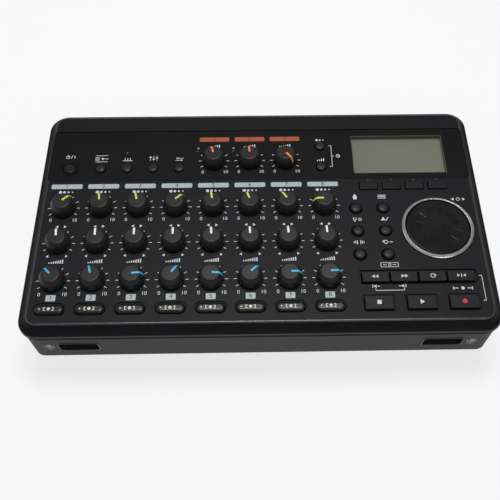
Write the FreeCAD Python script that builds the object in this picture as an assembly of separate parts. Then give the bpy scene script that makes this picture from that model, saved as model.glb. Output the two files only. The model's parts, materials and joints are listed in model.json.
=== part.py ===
import FreeCAD, Part
import math
import os

# A desktop digital multitrack recorder: a flat two-part casing with rows of knobs, one column
# for each track, three input knobs, a display, a finger wheel and push buttons.
# Millimetres, +Z up. X runs to the right along the front edge, Y away from the user,
# and Z is 0 at the soles of the feet. X and Y are 0 at the middle of the casing.

os.makedirs("parts", exist_ok=True)

# Knobs, one column for each track. The middle and input rows keep the same column pitch.
tracks = 8
column_pitch = 21.2
row_pitch = 23.5
input_knobs = 3
knob_height = 8.0
knob_foot_radius = 6.9
knob_waist_radius = 6.45
knob_waist_height = 4.4
knob_top_radius = 4.5
knob_sides = 14
knob_clear = 0.5
pointer_width = 1.1
pointer_rise = 0.3
pointer_start = 0.6
shaft_radius = 2.2
shaft_sides = 6
shaft_hole_radius = 3.8
shaft_hole_sides = 6
shaft_gap = 0.4

# Turn of each pointer at rest, degrees clockwise from straight away from the user
reverb_angles = [47, -5, -14, 47, -8, -20, -32, -92]
pan_angles = [-4, -2, 0, 0, -3, -2, -4, -2]
level_angles = [-43, -15, 86, 37, 95, 46, 92, 88]
input_angles = {"input_a_knob": -15, "input_b_knob": -3, "master_knob": 140}

# Distances from left to right: edge, knob columns, menu buttons, tray keys, edge
edge_to_column = 16.9
column_to_menu = 18.1
menu_to_tray = 7.0
tray_to_edge = 12.75

# Distances from front to rear, between the edges of neighbouring controls
edge_to_transport = 11.0
transport_to_tray = 8.4
tray_to_wheel = 7.5
wheel_to_fkeys = 6.85
fkeys_to_display = 7.3
display_to_edge = 20.95
edge_to_pills = 11.0
pills_to_knobs = 7.4

# Finger wheel in its ring
wheel_radius = 17.9
wheel_sides = 28
wheel_rise = 1.9
wheel_thickness = 4.0
wheel_hub_radius = 3.5
wheel_groove_count = 12
groove_inner = 8.6
groove_outer = 13.8
groove_width = 1.0
groove_depth = 0.5
ring_width = 1.85
ring_rise = 2.1
ring_slope = 1.2
ring_gap = 0.45
ring_collar = 0.8
ring_collar_depth = 1.6
ring_seat_gap = 0.1
wheel_side_margin = 8.5

# Display
display_width = 55.3
display_height = 28.3
display_side_margin = 17.35
window_margin = 1.6
window_thickness = 0.8
window_gap = 0.1
module_margin = 3.2
glass_thickness = 2.0

# Inlay strip that frames the display and the input controls
strip_side_inset = 4.8
strip_front_margin = 4.25
strip_rear_margin = 4.95
strip_corner = 3.0
strip_depth = 1.0
strip_thickness = 0.8
strip_gap = 0.2
input_row_drop = 4.1
near_row_drop = 9.2
far_row_rise = 6.1
setup_buttons = 4
setup_start = 18.1
setup_pitch = 15.4

# Round push buttons
round_radius = 2.9
round_sides = 10
round_rise = 1.1
round_gap = 0.3
round_countersink = 0.9
countersink_depth = 0.7
menu_rows = 3
menu_columns = 2
menu_pitch_x = 15.5
menu_pitch_y = 15.3
menu_drop = 1.2
power_radius = 3.4
power_rise = 1.2
collar_width = 1.1
collar_rise = 0.7

# Keys
button_travel = 0.6
key_gap = 0.35
key_chamfer = 0.4
fkeys = 4
fkey_width = 10.4
fkey_depth = 4.9
fkey_spacing = 2.95
fkey_rise = 0.9
tray_key_width = 14.7
tray_key_depth = 6.4
tray_key_spacing = 0.8
tray_key_rise = 1.2
tray_margin = 1.0
tray_sink = 1.0
transport_width = 15.4
transport_depth = 8.0
transport_spacing = 7.3
transport_rise = 1.4
well_margin = 0.8
well_sink = 0.6
pill_width = 15.6
pill_depth = 5.6
pill_rise = 0.9
pill_margin = 0.7
pill_sink = 0.8
pill_chamfer = 0.5

# Under each button: a flange that keeps it in, and a leg down to its switch
flange_reach = 0.8
strip_slot_margin = 1.4
flange_thickness = 0.8
flange_gap = 0.3
leg_size = 3.0
leg_gap = 0.1

# Casing
foot_height = 1.5
lower_height = 35.7
seam_gap = 0.3
skirt_height = 2.5
bevel_width = 5.0
bevel_drop = 5.0
outer_corner = 11.0
panel_thickness = 2.5
case_wall = 2.5
floor_thickness = 3.0
seam_setback = 1.0
front_draft = 5.1
side_draft = 0.6
lower_corner = 5.0
rear_setback = 1.5
rear_corner = 9.0
bottom_fillet = 3.5
lip_height = 2.0
lip_thickness = 1.2
lip_gap = 0.3

# Posts and screws that join the halves
post_size = 6.5
post_edge = 11.0
post_rear_edge = 13.0
post_side_y = -32.3
post_clear = 0.8
post_meet_height = 9.5
screw_head_radius = 2.6
screw_head_height = 2.2
screw_shank_radius = 1.4
screw_length = 15.0
screw_sink = 4.0
screw_gap = 0.15
boss_size = 5.0

# Control board under the panel and what it carries
board_thickness = 1.6
board_drop = 9.5
board_side_inset = 10.5
board_front_inset = 10.0
board_rear_inset = 8.5
pot_width = 9.6
pot_depth = 11.0
pot_height = 6.0
pot_bore_depth = 2.5
encoder_size = 13.0
switch_size = 6.0
switch_height = 4.0

# Main board in the lower case
main_rise = 3.5
main_side_inset = 12.5
main_rear_gap = 1.5
main_front_gap = 8.0
main_boss_size = 6.0

# Sockets in the rear wall, in a row from the user's left
first_socket_inset = 27.5
socket_gap = 8.5
xlr_spacing = 10.0
socket_axis_rise = 11.3
socket_fit = 0.2
nose_proud = 0.6
xlr_flange = 26.0
xlr_sides = 18
xlr_flange_thickness = 0.9
xlr_shell_radius = 9.7
xlr_core_radius = 7.9
xlr_core_recess = 1.0
xlr_groove_depth = 12.0
xlr_neck_wall = 1.1
xlr_body = 21.6
xlr_body_depth = 22.0
xlr_pin_radius = 1.3
xlr_pin_circle = 4.6
jack_bore_radius = 3.2
jack_bore_length = 26.0
jack_nose_radius = 5.4
jack_body_width = 15.0
mini_sockets = 3
mini_axis_rise = 5.0
mini_pitch = 20.0
mini_bore_radius = 1.8
mini_bore_length = 14.0
mini_nose_radius = 3.6
mini_body_width = 8.0
jack_to_mini = 23.5
mini_to_power = 24.0
power_bore_radius = 3.1
power_pin_radius = 1.0
power_bore_length = 10.0
power_nose_radius = 4.1
power_body_width = 9.6

# Card socket and data socket, behind a hinged door in the right-hand wall
door_y = 32.0
door_length = 40.0
door_rise = 7.1
door_height = 11.0
door_thickness = 1.8
door_gap = 0.3
pin_radius = 0.6
pin_length = 1.2
pin_gap = 0.05
card_width = 28.0
card_depth = 27.0
card_height = 3.6
card_slot_width = 24.6
card_slot_height = 2.6
card_offset = -5.5
usb_width = 8.6
usb_depth = 9.0
usb_height = 4.4
usb_offset = 14.0
socket_wall = 0.5
door_to_sockets = 1.0

# Microphones behind the slots in the front wall
mic_inset = 29.5
mic_rise = 19.8
mic_slot_width = 21.3
mic_slot_height = 11.5
mic_slot_corner = 3.5
mic_holder_depth = 7.0
mic_holder_rim = 1.5
mic_holder_gap = 0.3
mic_pocket_depth = 3.0
mic_capsule_radius = 3.0
mic_capsule_length = 2.6

# Battery bay for a row of cells, closed by a sliding door
cells = 4
cell_diameter = 14.5
cell_length = 50.5
cell_gap = 0.5
contact_room = 2.75
bay_front_inset = 15.0
bay_wall = 1.5
bay_door_margin = 1.0
bay_door_thickness = 1.7
bay_door_gap = 0.3
bay_door_travel = 4.5
tab_length = 3.5
tab_reach = 1.0
tab_thickness = 0.7
tabs = 3
grip_grooves = 4
grip_pitch = 2.4
grip_width = 1.0
grip_depth = 0.6
grip_length = 18.0
contact_size = 8.0
contact_thickness = 0.5
spring_radius = 3.2
spring_length = 2.0

# Ribbon cable between the boards
ribbon_width = 22.0
ribbon_thickness = 0.6
ribbon_bow = 4.0
ribbon_straight = 2.0
plug_length = 26.0
plug_depth = 5.0
plug_height = 5.0
ribbon_x = 32.0
ribbon_y = 30.0

# Feet
foot_radius = 6.0
foot_side_inset = 25.5
foot_front_inset = 23.0
foot_rear_inset = 18.0

# Derived sizes across
tray_keys = 4
ring_inner_radius = wheel_radius + ring_gap
ring_outer_radius = ring_inner_radius + ring_width
tray_pitch = tray_key_width + tray_key_spacing
tray_span = tray_pitch * (tray_keys - 1)
case_width = (edge_to_column + column_pitch * (tracks - 1) + column_to_menu + menu_to_tray + tray_span
              + tray_key_width / 2.0 + tray_to_edge)
left_x = -case_width / 2.0
right_x = case_width / 2.0
column_one_x = left_x + edge_to_column
last_column_x = column_one_x + column_pitch * (tracks - 1)
menu_x = last_column_x + column_to_menu
tray_x = menu_x + menu_to_tray
display_x = right_x - display_side_margin - display_width / 2.0
wheel_x = right_x - wheel_side_margin - ring_outer_radius

# Derived sizes from front to rear
case_depth = (edge_to_transport + transport_depth + transport_to_tray + tray_key_depth + tray_to_wheel
              + 2.0 * ring_outer_radius + wheel_to_fkeys + fkey_depth + fkeys_to_display + display_height
              + display_to_edge)
front_y = -case_depth / 2.0
rear_y = case_depth / 2.0
transport_y = front_y + edge_to_transport + transport_depth / 2.0
tray_y = transport_y + (transport_depth + tray_key_depth) / 2.0 + transport_to_tray
wheel_y = tray_y + tray_key_depth / 2.0 + tray_to_wheel + ring_outer_radius
fkey_y = wheel_y + ring_outer_radius + wheel_to_fkeys + fkey_depth / 2.0
display_y = fkey_y + (fkey_depth + display_height) / 2.0 + fkeys_to_display
strip_front_y = display_y - display_height / 2.0 - strip_front_margin
strip_rear_y = display_y + display_height / 2.0 + strip_rear_margin
pill_y = front_y + edge_to_pills + pill_depth / 2.0
level_row_y = pill_y + pill_depth / 2.0 + pills_to_knobs + knob_foot_radius
pan_row_y = level_row_y + row_pitch
reverb_row_y = pan_row_y + row_pitch
input_row_y = display_y - input_row_drop
near_row_y = display_y - near_row_drop
far_row_y = display_y + far_row_rise
menu_y = wheel_y - menu_drop

# Derived heights
lower_top_z = foot_height + lower_height
skirt_z = lower_top_z + seam_gap
bevel_z = skirt_z + skirt_height
panel_z = bevel_z + bevel_drop
panel_under_z = panel_z - panel_thickness
strip_low_z = panel_z - strip_depth
strip_top_z = strip_low_z + strip_thickness
board_top_z = panel_under_z - board_drop
pot_top_z = board_top_z + pot_height
floor_z = foot_height + floor_thickness
main_top_z = floor_z + main_rise
post_meet_z = floor_z + post_meet_height
socket_axis_z = main_top_z + socket_axis_rise
mini_axis_z = main_top_z + mini_axis_rise
mic_z = foot_height + mic_rise
rear_wall_y = rear_y - rear_setback

# Derived sizes of the battery bay
bay_half_width = (cells * cell_diameter + (cells + 1) * cell_gap) / 2.0 - 0.25
bay_front_y = front_y + bay_front_inset
bay_rear_y = bay_front_y + cell_length + 2.0 * contact_room
bay_low_z = foot_height + bay_door_thickness + bay_door_gap
bay_top_z = bay_low_z + cell_diameter + 2.0 * cell_gap
cell_axis_z = (bay_low_z + bay_top_z) / 2.0
main_front_y = bay_rear_y + bay_wall + main_front_gap
main_rear_y = rear_wall_y - case_wall - main_rear_gap

# Derived places along the rear wall
jack_x = [left_x + first_socket_inset]
xlr_x = [jack_x[0] + (jack_body_width + xlr_flange) / 2.0 + socket_gap]
xlr_x.append(xlr_x[0] + xlr_flange + xlr_spacing)
jack_x.append(xlr_x[1] + (jack_body_width + xlr_flange) / 2.0 + socket_gap)
mini_x = [jack_x[1] + jack_body_width / 2.0 + jack_to_mini + mini_pitch * index for index in range(mini_sockets)]
power_x = mini_x[-1] + mini_to_power


def vec(x, y, z=0.0):
    return FreeCAD.Vector(x, y, z)


def box(x0, x1, y0, y1, z0, z1):
    return Part.makeBox(x1 - x0, y1 - y0, z1 - z0, vec(x0, y0, z0))


def centred_box(x, y, width, depth, z0, z1):
    return box(x - width / 2.0, x + width / 2.0, y - depth / 2.0, y + depth / 2.0, z0, z1)


def soft_rectangle(x0, x1, y0, y1, radius, steps, z):
    """Outline of a rectangle whose corners are each cut in flat steps, from the rear right one."""
    points = []
    for cx, cy, start in ((x1 - radius, y1 - radius, 0), (x0 + radius, y1 - radius, 90),
                          (x0 + radius, y0 + radius, 180), (x1 - radius, y0 + radius, 270)):
        for step in range(steps + 1):
            turn = math.radians(start + 90.0 * step / steps)
            point = vec(cx + radius * math.cos(turn), cy + radius * math.sin(turn), z)
            if not points or (point - points[-1]).Length > 0.001:
                points.append(point)
    return points if (points[0] - points[-1]).Length > 0.001 else points[:-1]


def polygon_face(points):
    return Part.Face(Part.makePolygon(points + [points[0]]))


def between(rings):
    """Solid of flat faces between closed rings of points, lowest first, with parallel sides."""
    faces = [polygon_face(rings[0][::-1]), polygon_face(rings[-1])]
    for low, high in zip(rings, rings[1:]):
        for k in range(len(low)):
            following = (k + 1) % len(low)
            faces.append(polygon_face([low[k], low[following], high[following], high[k]]))
    solid = Part.Solid(Part.makeShell(faces))
    return solid if solid.Volume > 0 else solid.reversed()


def plate(x0, x1, y0, y1, z0, z1, radius, steps):
    return between([soft_rectangle(x0, x1, y0, y1, radius, steps, z) for z in (z0, z1)])


def centred_plate(x, y, width, depth, z0, z1, radius, steps):
    return plate(x - width / 2.0, x + width / 2.0, y - depth / 2.0, y + depth / 2.0, z0, z1, radius, steps)


def ring_points(sides, radius, z):
    """Corners of a regular polygon of a circle's area, with one side facing +Y."""
    corner = radius / math.sqrt(math.cos(math.pi / sides))
    step = 2.0 * math.pi / sides
    start = math.pi / 2.0 + step / 2.0
    return [vec(corner * math.cos(start + step * k), corner * math.sin(start + step * k), z)
            for k in range(sides)]


def flat_radius(sides, radius):
    """Distance from the axis to the middle of a side of such a polygon."""
    return radius * math.sqrt(math.cos(math.pi / sides))


def turned(profile, sides, x=0.0, y=0.0):
    """Faceted turned solid through a list of (radius, z) rings, lowest first."""
    solid = between([ring_points(sides, radius, z) for radius, z in profile])
    solid.translate(vec(x, y, 0))
    return solid


def prism(sides, radius, x, y, z0, z1):
    return turned([(radius, z0), (radius, z1)], sides, x, y)


def bored_in(sides, radius, x, y, z, length):
    """Faceted rod from a point on the rear, running towards the front."""
    rod = turned([(radius, 0.0), (radius, length)], sides)
    rod.rotate(vec(0, 0, 0), vec(1, 0, 0), 90)
    rod.translate(vec(x, y, z))
    return rod


def moved(shape, x=0.0, y=0.0, z=0.0, turn=0.0):
    """Copy turned clockwise about Z by turn degrees, then moved."""
    copy = shape.copy()
    copy.rotate(vec(0, 0, 0), vec(0, 0, 1), -turn)
    copy.translate(vec(x, y, z))
    return copy


def join(shapes):
    """One solid from pieces that overlap or share faces."""
    return shapes[0].fuse(shapes[1:]).removeSplitter()


def group(shapes):
    """Separate solids kept side by side in one node."""
    return Part.makeCompound(shapes)


def save(name, shape):
    shape.exportStep("parts/" + name + ".step")


# Places of the controls

def column_x(index):
    return column_one_x + column_pitch * index


def knob_places():
    """Every knob's node name, centre and pointer angle."""
    places = []
    rows = (("reverb", reverb_row_y, reverb_angles), ("pan", pan_row_y, pan_angles),
            ("level", level_row_y, level_angles))
    for kind, y, angles in rows:
        for track in range(tracks):
            name = kind + "_knob_" + str(track + 1)
            places.append((name, column_x(track), y, angles[track % len(angles)]))
    first = tracks - 1 - input_knobs
    for index, name in enumerate(input_angles):
        places.append((name, column_x(first + index), input_row_y, input_angles[name]))
    return places


def menu_places():
    middle = (menu_rows - 1) / 2.0
    return [(menu_x + menu_pitch_x * column, menu_y + menu_pitch_y * (middle - row))
            for row in range(menu_rows) for column in range(menu_columns)]


def strip_button_places():
    """Four buttons right of the power button and two right of the input knobs."""
    places = [(column_one_x + setup_start + setup_pitch * index, near_row_y) for index in range(setup_buttons)]
    return places + [(last_column_x, near_row_y), (last_column_x, far_row_y)]


def power_place():
    return (column_one_x, near_row_y)


def row_places(middle_x, y, count, pitch):
    return [(middle_x + pitch * (index - (count - 1) / 2.0), y) for index in range(count)]


def fkey_places():
    return row_places(display_x, fkey_y, fkeys, fkey_width + fkey_spacing)


def tray_middle_x():
    return tray_x + tray_span / 2.0


def tray_places():
    return row_places(tray_middle_x(), tray_y, tray_keys, tray_pitch)


def transport_places():
    return row_places(tray_middle_x(), transport_y, 3, transport_width + transport_spacing)


def pill_places():
    return [(column_x(track), pill_y) for track in range(tracks)]


def post_places():
    """Screw posts: four near the sides and two near the front."""
    side = right_x - post_edge
    rear = rear_y - post_rear_edge
    front = (pill_y + pill_depth / 2.0 + flange_reach + level_row_y - pot_depth / 2.0) / 2.0
    return [(-side, post_side_y), (side, post_side_y), (-side, rear), (side, rear),
            (column_x(2) + column_pitch / 2.0, front), ((last_column_x + menu_x) / 2.0 + 1.0, front)]


def boss_places():
    """Bosses that hold the control board down from the panel."""
    between_rows = (pan_row_y + reverb_row_y) / 2.0
    rear = rear_y - post_rear_edge
    return [(column_x(0) + column_pitch / 2.0, between_rows), (column_x(4) + column_pitch / 2.0, between_rows),
            ((last_column_x + menu_x) / 2.0, between_rows), (right_x - post_edge, fkey_y),
            (column_x(0) + column_pitch / 2.0, rear), (display_x, rear)]


# Knobs

def knob_profile():
    """Rings of the knob's side, radius and height above the panel, foot first."""
    crown = knob_height - pointer_rise
    return [(knob_foot_radius, knob_clear), (knob_waist_radius, knob_waist_height), (knob_top_radius, crown)]


def pointer_rib():
    """Raised line from near the middle of the crown out to the waist, towards +Y."""
    crown = knob_height - pointer_rise
    shoulder = flat_radius(knob_sides, knob_top_radius)
    waist = flat_radius(knob_sides, knob_waist_radius)
    sunk = pointer_rise
    outline = [vec(0, pointer_start, crown - sunk), vec(0, pointer_start, knob_height),
               vec(0, shoulder + pointer_rise / 3.0, knob_height), vec(0, waist + pointer_rise, knob_waist_height),
               vec(0, waist - sunk, knob_waist_height), vec(0, shoulder - sunk, crown - sunk)]
    face = polygon_face(outline)
    face.translate(vec(-pointer_width / 2.0, 0, 0))
    return face.extrude(vec(pointer_width, 0, 0))


def knob_solid():
    """Knob over the panel's surface with its pointer towards +Y."""
    body = turned(knob_profile(), knob_sides)
    shaft_low = pot_top_z - pot_bore_depth + shaft_gap - panel_z
    shaft = prism(shaft_sides, shaft_radius, 0.0, 0.0, shaft_low, knob_clear)
    return join([body, shaft, pointer_rib()])


def make_knobs():
    knob = knob_solid()
    for name, x, y, angle in knob_places():
        save(name, moved(knob, x, y, panel_z, angle))


# Finger wheel and its ring

def make_wheel():
    top = panel_z + wheel_rise
    softened = 0.5
    disc = turned([(wheel_radius, top - wheel_thickness), (wheel_radius, top - softened),
                   (wheel_radius - softened, top)], wheel_sides)
    groove = box(-groove_width / 2.0, groove_width / 2.0, groove_inner, groove_outer, top - groove_depth, top + 1.0)
    step = 360.0 / wheel_groove_count
    disc = disc.cut([moved(groove, turn=step * (index + 0.5)) for index in range(wheel_groove_count)])
    hub_low = pot_top_z - pot_bore_depth + shaft_gap
    hub = prism(8, wheel_hub_radius, 0.0, 0.0, hub_low, top - wheel_thickness)
    save("data_wheel", moved(join([disc, hub]), wheel_x, wheel_y))


def make_wheel_ring():
    low = panel_z - ring_collar_depth
    high = panel_z + ring_rise
    collar = prism(wheel_sides, ring_inner_radius + ring_collar, 0.0, 0.0, low, panel_z)
    flare = turned([(ring_outer_radius, panel_z), (ring_outer_radius - ring_slope * 0.35, panel_z + ring_rise * 0.6),
                    (ring_outer_radius - ring_slope, high)], wheel_sides)
    hole = prism(wheel_sides, ring_inner_radius, 0.0, 0.0, low - 1.0, high + 1.0)
    save("wheel_ring", moved(join([collar, flare]).cut(hole), wheel_x, wheel_y))


# Buttons

def button(cap, x, y, width, depth):
    """Cap with a flange under the panel and a leg that ends just above its switch."""
    top = panel_under_z - flange_gap
    flange = centred_box(x, y, width, depth + 2.0 * flange_reach, top - flange_thickness, top)
    leg_low = board_top_z + switch_height + button_travel + leg_gap
    leg = centred_box(x, y, leg_size, leg_size, leg_low, top)
    return join([cap, flange, leg])


def round_button(x, y, radius, rise):
    low = panel_under_z - flange_gap
    cap = turned([(radius, low), (radius, panel_z + rise * 0.5), (radius * 0.6, panel_z + rise)], round_sides, x, y)
    return button(cap, x, y, 2.0 * radius, 2.0 * radius)


def key_button(x, y, width, depth, rise, chamfer):
    low = panel_under_z - flange_gap
    cap = between([soft_rectangle(x - width / 2.0 + inset, x + width / 2.0 - inset, y - depth / 2.0 + inset,
                                  y + depth / 2.0 - inset, 0.0, 1, z)
                   for inset, z in ((0.0, low), (0.0, panel_z + rise - chamfer), (chamfer, panel_z + rise))])
    return button(cap, x, y, width, depth)


def pill_button(x, y):
    low = panel_under_z - flange_gap
    top = panel_z + pill_rise
    radius = pill_depth / 2.0
    rings = [(0.0, low), (0.0, top - pill_chamfer), (pill_chamfer, top)]
    cap = between([soft_rectangle(x - pill_width / 2.0 + inset, x + pill_width / 2.0 - inset,
                                  y - pill_depth / 2.0 + inset, y + pill_depth / 2.0 - inset, radius - inset, 2, z)
                   for inset, z in rings])
    return button(cap, x, y, pill_width, pill_depth)


def make_buttons():
    save("menu_buttons", group([round_button(x, y, round_radius, round_rise) for x, y in menu_places()]))
    save("strip_buttons", group([round_button(x, y, round_radius, round_rise) for x, y in strip_button_places()]))
    x, y = power_place()
    save("power_button", round_button(x, y, power_radius, power_rise))
    save("function_keys", group([key_button(x, y, fkey_width, fkey_depth, fkey_rise, key_chamfer)
                                 for x, y in fkey_places()]))
    save("rec_buttons", group([pill_button(x, y) for x, y in pill_places()]))
    names = ("rewind_button", "forward_button", "repeat_button", "in_out_button")
    for name, (x, y) in zip(names, tray_places()):
        save(name, key_button(x, y, tray_key_width, tray_key_depth, tray_key_rise, key_chamfer))
    names = ("stop_button", "play_button", "record_button")
    for name, (x, y) in zip(names, transport_places()):
        save(name, key_button(x, y, transport_width, transport_depth, transport_rise, key_chamfer))


# Upper case and inlay strip

def upper_body():
    """Slab with round corners whose upper rim slopes inwards."""
    corner = outer_corner
    edges = []
    ends = []
    for cx, cy, start in ((right_x - corner, rear_y - corner, 0), (left_x + corner, rear_y - corner, 90),
                          (left_x + corner, front_y + corner, 180), (right_x - corner, front_y + corner, 270)):
        points = [vec(cx + corner * math.cos(math.radians(start + turn)),
                      cy + corner * math.sin(math.radians(start + turn)), skirt_z) for turn in (0, 45, 90)]
        edges.append(Part.Arc(*points).toShape())
        ends.append((points[0], points[2]))
    for index in range(4):
        edges.append(Part.makeLine(ends[index][1], ends[(index + 1) % 4][0]))
    wire = Part.Wire(Part.__sortEdges__(edges))
    slab = Part.Face(wire).extrude(vec(0, 0, panel_z - skirt_z))
    rim = [edge for edge in slab.Edges if edge.BoundBox.ZMin > panel_z - 0.01]
    return slab.makeChamfer(bevel_drop, bevel_width, rim)


def upper_hollow():
    """Space inside the upper case."""
    slope = bevel_drop - panel_thickness + case_wall * (math.sqrt(2.0) - 1.0)
    radius = outer_corner - case_wall
    rings = []
    for shrink, z in ((0.0, skirt_z - 1.0), (0.0, panel_under_z - slope), (slope, panel_under_z)):
        side = case_wall + shrink
        rings.append(soft_rectangle(left_x + side, right_x - side, front_y + side, rear_y - side,
                                    radius - shrink, 2, z))
    return between(rings)


def key_hole(x, y, width, depth, margin, sink):
    """Hole for a key with a shallow well round it."""
    half_x = width / 2.0 + key_gap
    half_y = depth / 2.0 + key_gap
    hole = centred_box(x, y, 2.0 * half_x, 2.0 * half_y, panel_under_z - 1.0, panel_z + 1.0)
    if sink <= 0:
        return hole
    well = centred_plate(x, y, 2.0 * (half_x + margin), 2.0 * (half_y + margin), panel_z - sink, panel_z + 1.0,
                         margin, 1)
    return hole.fuse(well).removeSplitter()


def pill_hole(x, y):
    solids = []
    for margin, low in ((0.0, panel_under_z - 1.0), (pill_margin, panel_z - pill_sink)):
        width = pill_width + 2.0 * (key_gap + margin)
        depth = pill_depth + 2.0 * (key_gap + margin)
        solids.append(centred_plate(x, y, width, depth, low, panel_z + 1.0, depth / 2.0, 2))
    return solids[0].fuse(solids[1]).removeSplitter()


def countersunk_hole(x, y):
    radius = round_radius + round_gap
    rings = [(radius, panel_under_z - 1.0), (radius, panel_z - countersink_depth),
             (radius + round_countersink, panel_z), (radius + round_countersink, panel_z + 1.0)]
    return turned(rings, round_sides, x, y)


def strip_slots(low, high):
    """Two slots under the inlay strip that clear its round buttons."""
    places = strip_button_places()
    half = power_radius + strip_slot_margin
    left = power_place()[0]
    right = places[setup_buttons - 1][0]
    return [box(left - half, right + half, near_row_y - half, near_row_y + half, low, high),
            box(last_column_x - half, last_column_x + half, near_row_y - half, far_row_y + half, low, high)]


def panel_cuts():
    """Everything cut through or into the panel."""
    low = panel_under_z - 1.0
    high = panel_z + 1.0
    cuts = [prism(shaft_hole_sides, shaft_hole_radius, x, y, low, high) for _, x, y, _ in knob_places()]
    cuts += [countersunk_hole(x, y) for x, y in menu_places()]
    cuts += strip_slots(low, high)
    cuts += [key_hole(x, y, fkey_width, fkey_depth, 0.0, 0.0) for x, y in fkey_places()]
    cuts += [pill_hole(x, y) for x, y in pill_places()]
    cuts += [key_hole(x, y, transport_width, transport_depth, well_margin, well_sink)
             for x, y in transport_places()]
    cuts.append(key_hole(tray_middle_x(), tray_y, tray_span + tray_key_width, tray_key_depth, tray_margin, tray_sink))
    cuts.append(prism(wheel_sides, ring_inner_radius + ring_collar + ring_seat_gap, wheel_x, wheel_y, low, high))
    cuts.append(centred_box(display_x, display_y, display_width, display_height, low, high))
    cuts.append(plate(left_x + strip_side_inset, right_x - strip_side_inset, strip_front_y, strip_rear_y,
                      strip_low_z, high, strip_corner, 2))
    return cuts


def screw_top_z():
    return foot_height + screw_sink + screw_head_height + screw_length


def make_top_case():
    shell = upper_body().cut(upper_hollow())
    bury = panel_thickness / 2.0
    columns = [centred_box(x, y, boss_size, boss_size, board_top_z, panel_under_z + bury)
               for x, y in boss_places()]
    columns += [centred_box(x, y, post_size, post_size, post_meet_z, panel_under_z + bury)
                for x, y in post_places()]
    pilots = [prism(6, screw_shank_radius + screw_gap, x, y, post_meet_z - 1.0, screw_top_z() + 1.0)
              for x, y in post_places()]
    shell = shell.fuse(columns).removeSplitter().cut(panel_cuts() + pilots)
    save("top_case", shell.removeSplitter())


def make_upper_panel():
    edge = strip_side_inset + strip_gap
    sheet = plate(left_x + edge, right_x - edge, strip_front_y + strip_gap, strip_rear_y - strip_gap, strip_low_z,
                  strip_top_z, strip_corner - strip_gap, 2)
    low = strip_low_z - 1.0
    high = panel_z + collar_rise + 1.0
    x, y = power_place()
    outer = power_radius + round_gap + collar_width
    collar = turned([(outer, strip_low_z), (outer, panel_z + collar_rise * 0.4),
                     (outer - 0.5, panel_z + collar_rise)], 16, x, y)
    cuts = [prism(shaft_hole_sides, shaft_hole_radius, kx, ky, low, high)
            for _, kx, ky, _ in knob_places()[-input_knobs:]]
    cuts += [prism(round_sides, round_radius + round_gap, bx, by, low, high) for bx, by in strip_button_places()]
    cuts.append(prism(round_sides, power_radius + round_gap, x, y, low, high))
    cuts.append(centred_box(display_x, display_y, display_width, display_height, low, high))
    save("upper_panel", sheet.fuse(collar).removeSplitter().cut(cuts))


# Display

def make_display():
    top = panel_under_z - window_gap
    glass_top = top - window_thickness - window_gap
    glass_low = glass_top - glass_thickness
    width = display_width + 2.0 * window_margin
    height = display_height + 2.0 * window_margin
    save("display_window", centred_box(display_x, display_y, width, height, top - window_thickness, top))
    glass = centred_box(display_x, display_y, width, height, glass_low, glass_top)
    carrier = centred_box(display_x, display_y, display_width + 2.0 * module_margin,
                          display_height + 2.0 * module_margin, board_top_z, glass_low)
    save("display_module", join([carrier, glass]))


# Boards and what they carry

def board(x0, x1, y0, y1, top_z):
    """Circuit board with clearance round the screw posts."""
    low = top_z - board_thickness
    hole = post_size + 2.0 * post_clear
    cuts = [centred_box(x, y, hole, hole, low - 1.0, top_z + 1.0) for x, y in post_places()]
    return box(x0, x1, y0, y1, low, top_z).cut(cuts)


def make_control_board():
    save("control_board", board(left_x + board_side_inset, right_x - board_side_inset, front_y + board_front_inset,
                                rear_y - board_rear_inset, board_top_z))


def rotary(x, y, width, depth, hole):
    """Potentiometer or encoder body with a socket for the shaft above it."""
    body = centred_box(x, y, width, depth, board_top_z, pot_top_z)
    socket = centred_box(x, y, hole, hole, pot_top_z - pot_bore_depth, pot_top_z + 1.0)
    return body.cut(socket)


def make_rotary_controls():
    hole = 2.0 * (shaft_radius + shaft_gap) + 0.4
    bodies = [rotary(x, y, pot_width, pot_depth, hole) for _, x, y, _ in knob_places()]
    bodies.append(rotary(wheel_x, wheel_y, encoder_size, encoder_size, 2.0 * (wheel_hub_radius + shaft_gap)))
    save("rotary_controls", group(bodies))


def make_switches():
    places = menu_places() + strip_button_places() + [power_place()] + fkey_places() + pill_places()
    places += tray_places() + transport_places()
    save("tact_switches", group([centred_box(x, y, switch_size, switch_size, board_top_z,
                                             board_top_z + switch_height) for x, y in places]))


def make_main_board():
    save("main_board", board(left_x + main_side_inset, right_x - main_side_inset, main_front_y, main_rear_y,
                             main_top_z))


def make_ribbon_cable():
    """Flat cable with a slack bow, and the plug at each of its ends."""
    low = main_top_z + plug_height
    high = board_top_z - board_thickness - plug_height
    middle = (low + high) / 2.0
    half = ribbon_thickness / 2.0
    centre = [(0.0, low), (0.0, low + ribbon_straight), (-ribbon_bow, middle - ribbon_straight),
              (-ribbon_bow, middle + ribbon_straight), (0.0, high - ribbon_straight), (0.0, high)]
    outline = [vec(0, y - half, z) for y, z in centre] + [vec(0, y + half, z) for y, z in reversed(centre)]
    ribbon = polygon_face(outline).extrude(vec(ribbon_width, 0, 0))
    ribbon.translate(vec(ribbon_x - ribbon_width / 2.0, ribbon_y, 0))
    plugs = [centred_box(ribbon_x, ribbon_y, plug_length, plug_depth, z, z + plug_height)
             for z in (main_top_z, high)]
    save("ribbon_cable", group([ribbon] + plugs))


# Lower case

def lower_share(z):
    """How far down the lower case a height is: 0 at its top edge, 1 at its underside."""
    return (lower_top_z - z) / lower_height


def side_wall_x(z):
    return right_x - seam_setback - side_draft * lower_share(z)


def front_wall_y(z):
    return front_y + seam_setback + front_draft * lower_share(z)


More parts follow.
